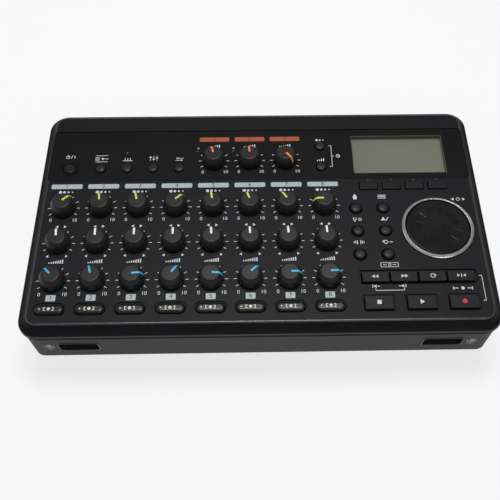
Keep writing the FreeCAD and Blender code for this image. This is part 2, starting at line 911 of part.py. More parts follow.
def lower_body():
    """Block whose front leans in downwards, with sides that draw in a little and an upright rear wall."""
    rings = []
    for z in (foot_height, lower_top_z):
        side, front = side_wall_x(z), front_wall_y(z)
        rings.append([vec(side, rear_wall_y, z), vec(-side, rear_wall_y, z), vec(-side, front, z), vec(side, front, z)])
    slab = between(rings)
    for left in (True, False):
        corner = [edge for edge in slab.Edges if edge.BoundBox.ZLength > lower_height - 1.0
                  and edge.BoundBox.YMax < front_y + 20.0 and (edge.BoundBox.XMin < 0) == left]
        radii = [outer_corner - seam_setback, lower_corner]
        if corner[0].Vertexes[0].Z < corner[0].Vertexes[-1].Z:
            radii.reverse()
        slab = slab.makeFillet(radii[0], radii[1], corner)
    rear = [edge for edge in slab.Edges
            if edge.BoundBox.ZLength > lower_height - 1.0 and edge.BoundBox.YMin > rear_wall_y - 0.01]
    slab = slab.makeFillet(rear_corner, rear)
    sole = [edge for edge in slab.Edges if edge.BoundBox.ZMax < foot_height + 0.01]
    return slab.makeFillet(bottom_fillet, sole)


def lower_hollow():
    rings = []
    radius = outer_corner - seam_setback - case_wall
    for z in (floor_z, lower_top_z + 1.0):
        side = side_wall_x(z) - case_wall
        rings.append(soft_rectangle(-side, side, front_wall_y(z) + case_wall, rear_wall_y - case_wall, radius, 2, z))
    return between(rings)


def lower_lip():
    """Thin rim inside the seam that locates the upper case."""
    gap = case_wall + lip_gap
    radius = outer_corner - gap
    rear = rear_y - gap
    outer = plate(left_x + gap, right_x - gap, front_y + gap, rear, lower_top_z - 1.5, lower_top_z + lip_height,
                  radius, 1)
    side = gap + lip_thickness
    inner = plate(left_x + side, right_x - side, front_y + side, rear_y - side, lower_top_z - 2.5,
                  lower_top_z + lip_height + 1.0, radius - lip_thickness, 1)
    return outer.cut(inner)


def tab_starts():
    """Front ends of the battery door's tabs along each side."""
    room = bay_rear_y - bay_front_y
    return [bay_front_y + room * (index + 0.5) / tabs - tab_length / 2.0 for index in range(tabs)]


def bay_cuts():
    """Hollow for the cells, the door's recess, and a slot with an exit for each of its tabs."""
    half = bay_half_width + bay_door_margin + bay_door_gap
    front = bay_front_y - bay_door_margin - bay_door_gap
    rear = bay_rear_y + bay_door_margin + bay_door_gap + bay_door_travel
    cuts = [box(-bay_half_width, bay_half_width, bay_front_y, bay_rear_y, foot_height - 1.0, bay_top_z),
            box(-half, half, front, rear, foot_height - 1.0, bay_low_z)]
    reach = half + tab_reach
    for y in tab_starts():
        low = bay_low_z - bay_door_gap - tab_thickness - bay_door_gap
        cuts.append(box(-reach, reach, y - bay_door_gap, y + bay_door_travel + tab_length + bay_door_gap, low,
                        bay_low_z))
        cuts.append(box(-reach, reach, y + bay_door_travel - bay_door_gap,
                        y + bay_door_travel + tab_length + bay_door_gap, foot_height - 1.0, bay_low_z))
    return cuts


def rear_holes():
    start = rear_wall_y + 1.0
    length = case_wall + 2.0
    cuts = [bored_in(xlr_sides, xlr_shell_radius + xlr_neck_wall + socket_fit, x, start, socket_axis_z, length)
            for x in xlr_x]
    cuts += [bored_in(12, jack_nose_radius + socket_fit, x, start, socket_axis_z, length) for x in jack_x]
    cuts += [bored_in(10, mini_nose_radius + socket_fit, x, start, mini_axis_z, length) for x in mini_x]
    cuts.append(bored_in(10, power_nose_radius + socket_fit, power_x, start, mini_axis_z, length))
    return cuts


def mic_places():
    return (left_x + mic_inset, right_x - mic_inset)


def upright_plate(x, y0, y1, z, width, height, corner):
    """Rectangle with cut corners, standing across Y, from y0 back to y1."""
    solid = plate(-width / 2.0, width / 2.0, -height / 2.0, height / 2.0, 0.0, y1 - y0, corner, 2)
    solid.rotate(vec(0, 0, 0), vec(1, 0, 0), 90)
    solid.translate(vec(x, y1, z))
    return solid


def mic_slots():
    start = front_wall_y(mic_z)
    return [upright_plate(x, start - 3.0, start + case_wall + 1.4, mic_z, mic_slot_width, mic_slot_height,
                          mic_slot_corner) for x in mic_places()]


def main_boss_places():
    side = right_x - main_side_inset - main_boss_size
    front = main_front_y + main_boss_size
    middle = (xlr_x[0] + xlr_x[1]) / 2.0
    return [(-side, front), (0.0, front), (side - 12.0, front), (middle, main_rear_y - main_boss_size),
            (power_x + power_body_width + 2.0, main_rear_y - main_boss_size)]


def make_bottom_case():
    bay = box(-bay_half_width - bay_wall, bay_half_width + bay_wall, bay_front_y - bay_wall,
              bay_rear_y + bay_wall, floor_z - 1.0, bay_top_z + bay_wall)
    columns = [centred_box(x, y, post_size, post_size, floor_z - 1.0, post_meet_z) for x, y in post_places()]
    columns += [centred_box(x, y, main_boss_size, main_boss_size, floor_z - 1.0, main_top_z - board_thickness)
                for x, y in main_boss_places()]
    shell = lower_body().cut(lower_hollow())
    shell = shell.fuse([lower_lip(), bay] + columns).removeSplitter()
    cuts = bay_cuts() + rear_holes() + mic_slots() + card_door_cuts()
    for x, y in post_places():
        rings = [(screw_head_radius + screw_gap, foot_height - 1.0),
                 (screw_head_radius + screw_gap, foot_height + screw_sink + screw_head_height)]
        cuts.append(turned(rings, 6, x, y))
        cuts.append(prism(6, screw_shank_radius + screw_gap, x, y, foot_height, post_meet_z + 1.0))
    save("bottom_case", shell.cut(cuts).removeSplitter())


# Door over the card and data sockets, hinged along its lower edge

def door_tilt():
    return math.atan(side_draft / lower_height)


def door_axis():
    """Hinge axis: half a thickness inside the wall's face, near the door's lower edge."""
    z = foot_height + door_rise + door_thickness / 2.0
    return side_wall_x(z) - door_thickness / 2.0 / math.cos(door_tilt()) - 0.1, z


def door_plate(grow):
    """Door that leans with the wall, round at its foot about the hinge axis."""
    half = door_thickness / 2.0 + grow
    height = door_height - door_thickness / 2.0 + grow
    foot = [vec(half * math.cos(math.radians(turn)), 0, half * math.sin(math.radians(turn)))
            for turn in range(180, 361, 30)]
    solid = polygon_face(foot + [vec(half, 0, height), vec(-half, 0, height)])
    solid = solid.extrude(vec(0, door_length + 2.0 * grow, 0))
    solid.translate(vec(0, -door_length / 2.0 - grow, 0))
    solid.rotate(vec(0, 0, 0), vec(0, 1, 0), math.degrees(door_tilt()))
    x, z = door_axis()
    solid.translate(vec(x, door_y, z))
    return solid


def hinge_rod(radius, extra):
    """Rod along the hinge axis that reaches past both ends of the door."""
    x, z = door_axis()
    reach = door_length / 2.0 + pin_length + extra
    return Part.makeCylinder(radius, 2.0 * reach, vec(x, door_y - reach, z), vec(0, 1, 0))


def card_door_cuts():
    x, z = door_axis()
    half = door_length / 2.0
    throat = box(x - case_wall - 2.0, x, door_y - half + 1.0, door_y + half - 1.0, main_top_z - 0.1,
                 z + door_height - 3.0)
    swing = box(x, x + 6.0, door_y - half - door_gap, door_y + half + door_gap,
                z - door_thickness / 2.0 - door_gap, z + 3.0)
    return [door_plate(door_gap), throat, swing, hinge_rod(pin_radius + pin_gap, door_gap)]


def make_card_door():
    save("card_door", door_plate(0.0).fuse(hinge_rod(pin_radius, 0.0)).removeSplitter())


def make_card_sockets():
    x, z = door_axis()
    face_x = side_wall_x(main_top_z) - case_wall - door_to_sockets
    wall = socket_wall
    y = door_y + card_offset
    card = box(face_x - card_depth, face_x, y - card_width / 2.0, y + card_width / 2.0, main_top_z,
               main_top_z + card_height)
    slot = box(face_x - 22.0, face_x + 1.0, y - card_slot_width / 2.0, y + card_slot_width / 2.0,
               main_top_z + wall, main_top_z + wall + card_slot_height)
    y = door_y + usb_offset
    usb = box(face_x - usb_depth, face_x, y - usb_width / 2.0, y + usb_width / 2.0, main_top_z,
              main_top_z + usb_height)
    port = box(face_x - 7.0, face_x + 1.0, y - usb_width / 2.0 + wall, y + usb_width / 2.0 - wall,
               main_top_z + wall, main_top_z + usb_height - wall)
    tongue = box(face_x - 7.5, face_x - 1.0, y - 2.4, y + 2.4, main_top_z + 1.7, main_top_z + 2.5)
    save("card_and_usb_sockets", group([card.cut(slot), usb.cut(port).fuse(tongue).removeSplitter()]))


# Rear sockets

def xlr(x):
    """Microphone socket: a square flange, a round shell, a core with three contact holes."""
    face_y = rear_wall_y + xlr_flange_thickness
    z = socket_axis_z
    half = xlr_flange / 2.0
    flange = box(x - half, x + half, rear_wall_y, face_y, z - half, z + half)
    half = xlr_body / 2.0
    body = box(x - half, x + half, rear_wall_y - xlr_body_depth, rear_wall_y - case_wall, main_top_z, z + half)
    neck = bored_in(xlr_sides, xlr_shell_radius + xlr_neck_wall, x, rear_wall_y, z, case_wall)
    bore = bored_in(xlr_sides, xlr_shell_radius, x, face_y, z, xlr_groove_depth)
    core = bored_in(xlr_sides, xlr_core_radius, x, face_y - xlr_core_recess, z, xlr_groove_depth - xlr_core_recess)
    holes = []
    for angle in (0, 90, 180):
        turn = math.radians(angle)
        holes.append(bored_in(6, xlr_pin_radius, x + xlr_pin_circle * math.cos(turn), face_y,
                              z + xlr_pin_circle * math.sin(turn), xlr_groove_depth - 2.0))
    return join([flange, body, neck]).cut(bore).fuse(core).cut(holes).removeSplitter()


def jack(x, z, bore_sides, bore_radius, bore_length, nose_sides, nose_radius, width):
    """Panel jack: a nose through the wall, a body on the board and one straight bore."""
    face_y = rear_wall_y + nose_proud
    nose = bored_in(nose_sides, nose_radius, x, face_y, z, nose_proud + case_wall)
    body = box(x - width / 2.0, x + width / 2.0, face_y - bore_length - 2.0, rear_wall_y - case_wall, main_top_z,
               z + width / 2.0)
    if bore_sides:
        bore = bored_in(bore_sides, bore_radius, x, face_y, z, bore_length)
    else:
        bore = Part.makeCylinder(bore_radius, bore_length, vec(x, face_y, z), vec(0, -1, 0))
    return nose.fuse(body).cut(bore).removeSplitter()


def make_rear_sockets():
    save("xlr_sockets", group([xlr(x) for x in xlr_x]))
    jacks = [jack(x, socket_axis_z, 0, jack_bore_radius, jack_bore_length, 12, jack_nose_radius, jack_body_width)
             for x in jack_x]
    jacks += [jack(x, mini_axis_z, 8, mini_bore_radius, mini_bore_length, 10, mini_nose_radius, mini_body_width)
              for x in mini_x]
    inlet = jack(power_x, mini_axis_z, 10, power_bore_radius, power_bore_length, 10, power_nose_radius,
                 power_body_width)
    pin = bored_in(6, power_pin_radius, power_x, rear_wall_y - 0.6, mini_axis_z, power_bore_length - 0.8)
    jacks.append(inlet.fuse(pin).removeSplitter())
    save("rear_jacks", group(jacks))


# Microphones

def make_microphones():
    solids = []
    near = front_wall_y(floor_z) + case_wall + mic_holder_gap
    far = near + mic_holder_depth
    width = mic_slot_width + 2.0 * mic_holder_rim
    height = mic_slot_height + 2.0 * mic_holder_rim
    for x in mic_places():
        holder = box(x - width / 2.0, x + width / 2.0, near, far, floor_z, mic_z + height / 2.0)
        pocket = box(x - mic_slot_width / 2.0 + 1.0, x + mic_slot_width / 2.0 - 1.0, near - 1.0,
                     near + mic_pocket_depth, mic_z - mic_slot_height / 2.0 + 1.0,
                     mic_z + mic_slot_height / 2.0 - 1.0)
        capsule = bored_in(12, mic_capsule_radius, x, near + mic_pocket_depth, mic_z, mic_capsule_length)
        solids += [holder.cut(pocket), capsule]
    save("mic_capsules", group(solids))


# Battery door, contacts, feet and screws

def make_battery_door():
    half = bay_half_width + bay_door_margin
    front = bay_front_y - bay_door_margin
    rear = bay_rear_y + bay_door_margin
    high = foot_height + bay_door_thickness
    pieces = [box(-half, half, front, rear, foot_height, high)]
    reach = half + tab_reach
    pieces += [box(-reach, reach, y, y + tab_length, high - tab_thickness, high) for y in tab_starts()]
    start = rear - 6.0
    grips = [box(-grip_length / 2.0, grip_length / 2.0, start - grip_pitch * index,
                 start - grip_pitch * index + grip_width, foot_height - 1.0, foot_height + grip_depth)
             for index in range(grip_grooves)]
    save("battery_door", join(pieces).cut(grips))


def make_battery_contacts():
    solids = []
    pitch = cell_diameter + cell_gap
    for index in range(cells):
        x = pitch * (index - (cells - 1) / 2.0)
        for wall_y, inward in ((bay_front_y, 1.0), (bay_rear_y, -1.0)):
            y0, y1 = sorted((wall_y, wall_y + inward * contact_thickness))
            contact = box(x - contact_size / 2.0, x + contact_size / 2.0, y0, y1, cell_axis_z - contact_size / 2.0,
                          cell_axis_z + contact_size / 2.0)
            sprung = (index % 2 == 0) == (inward > 0)
            if sprung:
                coil = turned([(spring_radius, 0.0), (spring_radius * 0.6, spring_length)], 8)
                coil.rotate(vec(0, 0, 0), vec(1, 0, 0), -90.0 * inward)
                coil.translate(vec(x, wall_y + inward * contact_thickness, cell_axis_z))
                contact = contact.fuse(coil).removeSplitter()
            solids.append(contact)
    save("battery_contacts", group(solids))


def foot_places():
    side = right_x - foot_side_inset
    return [(x, y) for y in (front_y + foot_front_inset, rear_y - foot_rear_inset) for x in (-side, side)]


def make_feet():
    profile = [(foot_radius - 0.6, 0.0), (foot_radius, 0.6), (foot_radius, foot_height)]
    save("rubber_feet", group([turned(profile, 12, x, y) for x, y in foot_places()]))


def make_screws():
    head_low = foot_height + screw_sink
    head_high = head_low + screw_head_height
    solids = []
    for x, y in post_places():
        head = prism(6, screw_head_radius, x, y, head_low, head_high)
        shank = prism(6, screw_shank_radius, x, y, head_high, head_high + screw_length)
        solids.append(join([head, shank]))
    save("case_screws", group(solids))


make_knobs()
make_wheel()
make_wheel_ring()
make_buttons()
make_top_case()
make_upper_panel()
make_display()
make_control_board()
make_rotary_controls()
make_switches()
make_main_board()
make_ribbon_cable()
make_bottom_case()
make_card_door()
make_card_sockets()
make_rear_sockets()
make_microphones()
make_battery_door()
make_battery_contacts()
make_feet()
make_screws()
print("parts written")
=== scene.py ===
import json
import math

import bmesh
import bpy
from mathutils import Euler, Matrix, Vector

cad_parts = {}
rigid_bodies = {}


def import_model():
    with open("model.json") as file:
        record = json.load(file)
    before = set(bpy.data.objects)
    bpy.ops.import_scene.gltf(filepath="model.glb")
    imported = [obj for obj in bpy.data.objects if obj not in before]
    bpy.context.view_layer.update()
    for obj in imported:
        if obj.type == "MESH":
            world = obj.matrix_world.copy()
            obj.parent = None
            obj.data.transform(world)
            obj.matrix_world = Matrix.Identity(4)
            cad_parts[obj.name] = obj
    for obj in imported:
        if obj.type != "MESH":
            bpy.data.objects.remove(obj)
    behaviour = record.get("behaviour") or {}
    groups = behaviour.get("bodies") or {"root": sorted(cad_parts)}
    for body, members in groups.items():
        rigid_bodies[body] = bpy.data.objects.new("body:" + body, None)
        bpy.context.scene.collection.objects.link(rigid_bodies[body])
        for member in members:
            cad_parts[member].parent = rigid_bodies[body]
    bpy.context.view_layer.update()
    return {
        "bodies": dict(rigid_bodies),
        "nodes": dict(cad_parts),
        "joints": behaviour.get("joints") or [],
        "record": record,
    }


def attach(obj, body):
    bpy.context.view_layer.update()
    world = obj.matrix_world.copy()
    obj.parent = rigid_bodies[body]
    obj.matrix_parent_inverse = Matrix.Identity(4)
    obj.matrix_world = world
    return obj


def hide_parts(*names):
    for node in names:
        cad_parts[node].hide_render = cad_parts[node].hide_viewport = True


# Looks of a desktop multitrack recorder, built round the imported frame.
# Sizes are millimetres on the frame's own axes, unless a note says otherwise.

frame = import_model()
mm = 0.001
panelZ = 45
stripZ = 44.8
# over the panel, where its cutters end
clearZ = 46

# Shared places of the controls
columnX = [-111.6 + 21.2 * track for track in range(8)]
rowY = {"reverb": 2.9, "pan": -20.6, "level": -44.1, "input": 35.8}
menuPlaces = [(54.9 + 15.5 * column, 0.6 - 15.3 * row) for row in range(3) for column in range(2)]
stripPlaces = [(-93.5 + 15.4 * index, 30.7) for index in range(4)] + [(36.8, 30.7), (36.8, 46)]
powerPlace = (-111.6, 30.7)
fkeyPlaces = [(63.475 + 13.35 * index, 16) for index in range(4)]
trayPlaces = [(61.9 + 15.5 * index, -44.4) for index in range(4)]
transportPlaces = [(62.45 + 22.7 * index, -60) for index in range(3)]
pillPlaces = [(x, -61.2) for x in columnX]
keySizes = {"function": (10.4, 4.9), "tray": (14.7, 6.4), "transport": (15.4, 8), "pill": (15.6, 5.6)}
keyRise = {"function": 0.9, "tray": 1.2, "transport": 1.4, "pill": 0.9}
wheelPlace = (99.8, -13.5)
displayPlace = (83.5, 39.9)
displaySize = (55.3, 28.3)


# Picking and editing

def clearPick():
    if bpy.context.object and bpy.context.mode != "OBJECT":
        bpy.ops.object.mode_set(mode="OBJECT")
    bpy.ops.object.select_all(action="DESELECT")


def pick(*pieces):
    clearPick()
    for piece in pieces:
        piece.select_set(True)
    bpy.context.view_layer.objects.active = pieces[0]


def added(name, add, **values):
    clearPick()
    add(**values)
    piece = bpy.context.object
    piece.name = name
    return piece


def startEdit(piece, kind="FACE"):
    pick(piece)
    bpy.ops.object.mode_set(mode="EDIT")
    bpy.ops.mesh.select_mode(type=kind)


def endEdit():
    bpy.ops.object.mode_set(mode="OBJECT")


def selectAll():
    bpy.ops.mesh.select_all(action="SELECT")


def pull(x, y, z):
    # draws new faces or edges out of what is selected
    bpy.ops.mesh.extrude_region_move(TRANSFORM_OT_translate={"value": (x * mm, y * mm, z * mm)})


def middle(face):
    return face.calc_center_median() / mm


def choose(piece, kind, test):
    # in edit mode, picks the faces, edges or corners that pass the test
    bpy.ops.mesh.select_mode(type=kind)
    bpy.ops.mesh.select_all(action="DESELECT")
    mesh = bmesh.from_edit_mesh(piece.data)
    for part in {"FACE": mesh.faces, "EDGE": mesh.edges, "VERT": mesh.verts}[kind]:
        if test(part):
            part.select_set(True)
    bmesh.update_edit_mesh(piece.data)


def level(edge, z):
    # both ends of the edge lie at this height
    return all(abs(vert.co.z - z * mm) < 0.02 * mm for vert in edge.verts)


def softenLevel(piece, z, width, steps):
    startEdit(piece, "EDGE")
    choose(piece, "EDGE", lambda edge: level(edge, z))
    bpy.ops.mesh.bevel(offset=width * mm, segments=steps, affect="EDGES")
    endEdit()


def outwards(piece):
    startEdit(piece)
    selectAll()
    bpy.ops.mesh.remove_doubles(threshold=0.001 * mm)
    bpy.ops.mesh.normals_make_consistent(inside=False)
    endEdit()


def applyAll(piece):
    pick(piece)
    for modifier in list(piece.modifiers):
        bpy.ops.object.modifier_apply(modifier=modifier.name)


def settle(piece):
    pick(piece)
    bpy.ops.object.transform_apply(location=True, rotation=True, scale=True)


def joined(name, pieces):
    pick(*pieces)
    if len(pieces) > 1:
        bpy.ops.object.join()
    piece = bpy.context.object
    piece.name = name
    piece.data.name = name
    return piece


def cutAway(piece, *tools, operation="DIFFERENCE"):
    tool = joined("tool", tools)
    cut = piece.modifiers.new("cut", "BOOLEAN")
    cut.object = tool
    cut.operation = operation
    cut.solver = "EXACT"
    applyAll(piece)
    bpy.data.objects.remove(tool)


def softenEdges(piece, width, steps, angle=35):
    bevel = piece.modifiers.new("soften", "BEVEL")
    bevel.width = width * mm
    bevel.segments = steps
    bevel.limit_method = "ANGLE"
    bevel.angle_limit = math.radians(angle)
    applyAll(piece)


def paintFaces(piece, index, test):
    # gives the chosen faces the finish in this slot of the piece
    startEdit(piece)
    choose(piece, "FACE", test)
    piece.active_material_index = index
    bpy.ops.object.material_slot_assign()
    endEdit()


def smooth(piece, angle=30):
    pick(piece)
    bpy.ops.object.shade_smooth_by_angle(angle=math.radians(angle))
    even = piece.modifiers.new("even", "WEIGHTED_NORMAL")
    even.keep_sharp = True
    even.weight = 100
    applyAll(piece)


def dress(piece, body, slotName, finish, *nodes):
    # last step of every piece: smooth normals, finish, body and the solids it stands for
    smooth(piece)
    if finish and not piece.data.materials:
        piece.data.materials.append(finishes[finish])
    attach(piece, body)
    if nodes:
        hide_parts(*nodes)
    return piece


def moved(piece, x, y, z=0, turn=0, tilt=0):
    # turns a piece about its own Z or tilts it about X, in degrees, and sets it in place
    piece.rotation_euler = (math.radians(tilt), 0, math.radians(turn))
    piece.location = (x * mm, y * mm, z * mm)
    settle(piece)
    return piece


def copied(piece, name, x=0, y=0, turn=0):
    pick(piece)
    bpy.ops.object.duplicate()
    copy = bpy.context.object
    copy.name = name
    return moved(copy, x, y, turn=-turn)


def pieceName(node):
    # the name of the piece that stands for this node: dataWheel for data_wheel
    first, *others = node.split("_")
    return first + "".join(word.capitalize() for word in others)


def standIn(node, pieces, slotName, finish, body=None):
    # joins pieces that take the place of one node, under its name
    dress(joined(pieceName(node), pieces), body or node, slotName, finish, node)


def dropped(*pieces):
    for piece in pieces:
        bpy.data.objects.remove(piece)


# Starting shapes

def flatPiece(name, x, y, z, width, depth, kind):
    # a flat rectangle, left in edit mode
    piece = added(name, bpy.ops.mesh.primitive_plane_add, size=1, location=(x * mm, y * mm, z * mm))
    piece.scale = (width * mm, depth * mm, 1)
    settle(piece)
    startEdit(piece, kind)
    return piece


def plate(name, x, y, width, depth, low, high, corner, steps=5):
    piece = flatPiece(name, x, y, low, width, depth, "VERT")
    selectAll()
    if corner:
        bpy.ops.mesh.bevel(offset=corner * mm, segments=steps, affect="VERTICES")
    bpy.ops.mesh.select_mode(type="FACE")
    selectAll()
    pull(0, 0, high - low)
    endEdit()
    outwards(piece)
    return piece


def drawRings(name, x, y, rings, sides, fill):
    # starts a round piece with a circle and draws it through its rings, each a radius and a height
    radius, z = rings[0]
    piece = added(name, bpy.ops.mesh.primitive_circle_add, vertices=sides, radius=radius * mm,
                  fill_type=fill, location=(x * mm, y * mm, z * mm))
    settle(piece)
    startEdit(piece, "FACE" if fill == "NGON" else "EDGE")
    selectAll()
    for nextRadius, nextZ in rings[1:]:
        pull(0, 0, nextZ - z)
        share = nextRadius / radius
        bpy.ops.transform.resize(value=(share, share, 1), center_override=(x * mm, y * mm, nextZ * mm))
        radius, z = nextRadius, nextZ
    return piece


def lathe(name, x, y, rings, sides=48):
    piece = drawRings(name, x, y, rings, sides, "NGON")
    endEdit()
    outwards(piece)
    return piece


def block(*sizes):
    return plate("tool", *sizes)


def bore(*sizes):
    return lathe("tool", *sizes)


def drill(x, y, radius, low, high, sides=24):
    # a straight bore
    return bore(x, y, [(radius, low), (radius, high)], sides)


def latheRing(name, x, y, rings, sides=64):
    # an open ring, drawn through its section and closed on itself
    piece = drawRings(name, x, y, rings, sides, "NOTHING")
    choose(piece, "EDGE", lambda edge: edge.is_boundary)
    bpy.ops.mesh.bridge_edge_loops()
    endEdit()
    outwards(piece)
    return piece


def turnedBack(piece, y, z):
    # stands a piece that was made along Z so that its top faces the rear
    return moved(piece, 0, y, z, tilt=-90)


# Finishes

def nodeFor(tree, kind, **values):
    node = tree.nodes.new("ShaderNode" + kind)
    for key, value in values.items():
        if key in node.inputs:
            node.inputs[key].default_value = value
        else:
            setattr(node, key, value)
    return node


def link(tree, source, output, target, entry):
    tree.links.new(source.outputs[output], target.inputs[entry])


def makeFinish(name, tint, spread, patch, gloss, grain, relief, extras={}):
    material = bpy.data.materials.new(name)
    material.use_nodes = True
    tree = material.node_tree
    shader = tree.nodes["Principled BSDF"]
    shader.inputs["Coat Roughness"].default_value = 0.1
    for socket, key, plain in (("Metallic", "metal", 0), ("Coat Weight", "coat", 0),
                               ("Specular IOR Level", "specular", 0.5), ("Alpha", "alpha", 1)):
        shader.inputs[socket].default_value = extras.get(key, plain)
    coords = nodeFor(tree, "TexCoord")
    stretch = nodeFor(tree, "Mapping", Scale=extras.get("stretch", (1, 1, 1)))
    link(tree, coords, "Object", stretch, "Vector")
    patches = nodeFor(tree, "TexNoise", Scale=patch, Detail=extras.get("detail", 5), Roughness=0.6)
    link(tree, stretch, "Vector", patches, "Vector")
    tones = nodeFor(tree, "ValToRGB")
    for element, position, share in zip(tones.color_ramp.elements, (0.3, 0.7), (1 - spread, 1 + spread)):
        element.position = position
        element.color = [part * share for part in tint] + [1]
    link(tree, patches, "Fac", tones, "Fac")
    link(tree, tones, "Color", shader, "Base Color")
    polish = nodeFor(tree, "MapRange")
    for key, value in zip(("From Min", "From Max", "To Min", "To Max"), (0.3, 0.7, *gloss)):
        polish.inputs[key].default_value = value
    link(tree, patches, "Fac", polish, "Value")
    link(tree, polish, "Result", shader, "Roughness")
    if extras.get("cells"):
        grains = nodeFor(tree, "TexVoronoi", Scale=grain)
    else:
        grains = nodeFor(tree, "TexNoise", Scale=grain, Detail=3)
    link(tree, stretch, "Vector", grains, "Vector")
    bump = nodeFor(tree, "Bump", Strength=extras.get("bumpStrength", 0.6))
    bump.inputs["Distance"].default_value = relief * mm
    link(tree, grains, "Distance" if extras.get("cells") else "Fac", bump, "Height")
    link(tree, bump, "Normal", shader, "Normal")
    return material


inked = ((0.45, 0.55), 5000, 0.005)
moulded = ((0.35, 0.45), 4000, 0.01)
# a row is the colour and its spread, the scale of its patches, the least and most roughness,
# the scale and height (mm) of the grain, and what else differs from a plain moulded finish
recipes = {
    "panelBlack": ((0.0078, 0.0078, 0.0092), 0.12, 45, (0.44, 0.52), 2600, 0.03, {"specular": 0.14}),
    "slopeBlack": ((0.0085, 0.0085, 0.0095), 0.12, 45, (0.5, 0.58), 2600, 0.03, {"specular": 0.06}),
    # polished edges: real gloss, and a colour lighter than the panel as a painted highlight
    "edgeHighlightBlack": ((0.022, 0.022, 0.024), 0.15, 300, (0.3, 0.36), 2600, 0.003, {"specular": 0.7}),
    "stripBlack": ((0.0062, 0.0059, 0.0059), 0.1, 30, (0.4, 0.48), 3600, 0.012, {"specular": 0.1}),
    "lowerCase": ((0.0262, 0.0226, 0.0202), 0.3, 1300, (0.5, 0.66), 1500, 0.13,
                  {"specular": 0.2, "detail": 2, "bumpStrength": 0.9}),
    "knobBlack": ((0.019, 0.018, 0.019), 0.12, 120, (0.34, 0.42), 4200, 0.008, {"specular": 0.24}),
    "pointerGreen": ((0.50, 0.74, 0.10), 0.05, 500, *moulded),
    "pointerWhite": ((0.86, 0.87, 0.88), 0.03, 500, *moulded),
    "pointerBlue": ((0.035, 0.45, 0.72), 0.06, 500, *moulded),
    "pointerOrange": ((0.86, 0.21, 0.04), 0.05, 500, *moulded),
    "wheelBlack": ((0.0055, 0.0055, 0.006), 0.2, 90, (0.16, 0.24), 3000, 0.006,
                   {"specular": 0.3, "coat": 0.1}),
    "brightTrim": ((0.86, 0.84, 0.81), 0.04, 60, (0.2, 0.26), 3000, 0.004, {"metal": 1}),
    "plainMetal": ((0.52, 0.51, 0.49), 0.08, 200, (0.28, 0.42), 2500, 0.01, {"metal": 1}),
    "buttonBlack": ((0.018, 0.0165, 0.0175), 0.12, 200, (0.36, 0.46), 4000, 0.01, {"specular": 0.25}),
    "keyBlack": ((0.0115, 0.0115, 0.013), 0.12, 150, (0.38, 0.48), 4200, 0.01, {"specular": 0.15}),
    "pillSmoke": ((0.016, 0.014, 0.0125), 0.15, 160, (0.26, 0.36), 3000, 0.004,
                  {"specular": 0.35, "coat": 0.06}),
    "socketBlack": ((0.008, 0.008, 0.008), 0.12, 160, (0.28, 0.38), 3000, 0.01),
    "rubberBlack": ((0.014, 0.014, 0.014), 0.2, 300, (0.7, 0.85), 2400, 0.03),
    "printWhite": ((0.62, 0.64, 0.65), 0.05, 900, *inked),
    "printCream": ((0.66, 0.62, 0.50), 0.05, 900, *inked),
    "printFaint": ((0.29, 0.28, 0.27), 0.08, 900, *inked),
    "badgePale": ((0.40, 0.45, 0.455), 0.04, 700, *inked),
    "badgeOrange": ((0.37, 0.066, 0.016), 0.05, 700, *inked),
    "printDark": ((0.02, 0.022, 0.024), 0.08, 700, *inked),
    "printRed": ((0.50, 0.015, 0.012), 0.06, 700, (0.4, 0.5), 5000, 0.005),
    "displayGrey": ((0.160, 0.168, 0.108), 0.06, 22, (0.35, 0.45), 3000, 0.004),
    "clearWindow": ((0.30, 0.32, 0.30), 0.03, 40, (0.04, 0.08), 900, 0.001, {"alpha": 0.10}),
    # the screen's grey-green, darkened as painted shade for the walls round it
    "shadedDisplayRim": ((0.105, 0.108, 0.076), 0.05, 60, (0.4, 0.5), 3000, 0.004, {"specular": 0.2}),
    # mic slot rims: lighter than the case as a painted highlight along their edges
    "slotRimHighlight": ((0.044, 0.039, 0.036), 0.15, 300, (0.3, 0.4), 2600, 0.01),
    "lampGrey": ((0.085, 0.082, 0.08), 0.1, 500, (0.2, 0.3), 3000, 0.004),
    "boardGreen": ((0.010, 0.075, 0.030), 0.2, 220, (0.3, 0.45), 1500, 0.02),
    "ribbonGrey": ((0.26, 0.27, 0.29), 0.08, 200, (0.45, 0.6), 900, 0.04, {"stretch": (4, 0.3, 0.3)}),
    "micFelt": ((0.006, 0.006, 0.006), 0.3, 700, (0.8, 0.95), 2200, 0.12, {"cells": True}),
}
finishes = {name: makeFinish(name, *row) for name, row in recipes.items()}
print("finishes made:", len(finishes))


# Upper case

topSizes = {"width": 257, "depth": 150, "corner": 11, "low": 37.5, "rim": 40, "wall": 2.5,
            "slopes": ((2.9, 1.8), (2.1, 3.2)), "edgeSoft": 0.8, "rimSoft": 0.5, "coveSoft": 1.5,
            "holeSoft": 0.22, "shaftHole": 3.4, "trayMiddle": (85.15, -44.4), "traySize": (61.2, 6.4),
            "keyGap": 0.35, "stripWidth": 247.4, "stripDepth": 37.5, "stripMiddle": 40.25,
            "stripCorner": 3, "stripSink": 1, "lowSoft": 0.4, "hollowTop": 39.5, "hollowSlope": 3,
            "buttonHole": 3.2, "wheelHole": 19.25, "flatX": 122.6, "flatY": 69.2, "roundX": 114,
            "roundY": 61}


def keyTools(places, size, gap, corner, low=36):
    width, depth = size
    steps = 10 if corner > 2 else 3
    return [block(x, y, width + 2 * gap, depth + 2 * gap, low, clearZ, corner, steps) for x, y in places]


def atRim(face):
    # the face lies outside the flat panel, or under it at a rounded corner
    s = topSizes
    x, y, z = middle(face)
    rounded = abs(x) > s["roundX"] and abs(y) > s["roundY"]
    return abs(x) > s["flatX"] or abs(y) > s["flatY"] or (rounded and z < panelZ - 0.01)


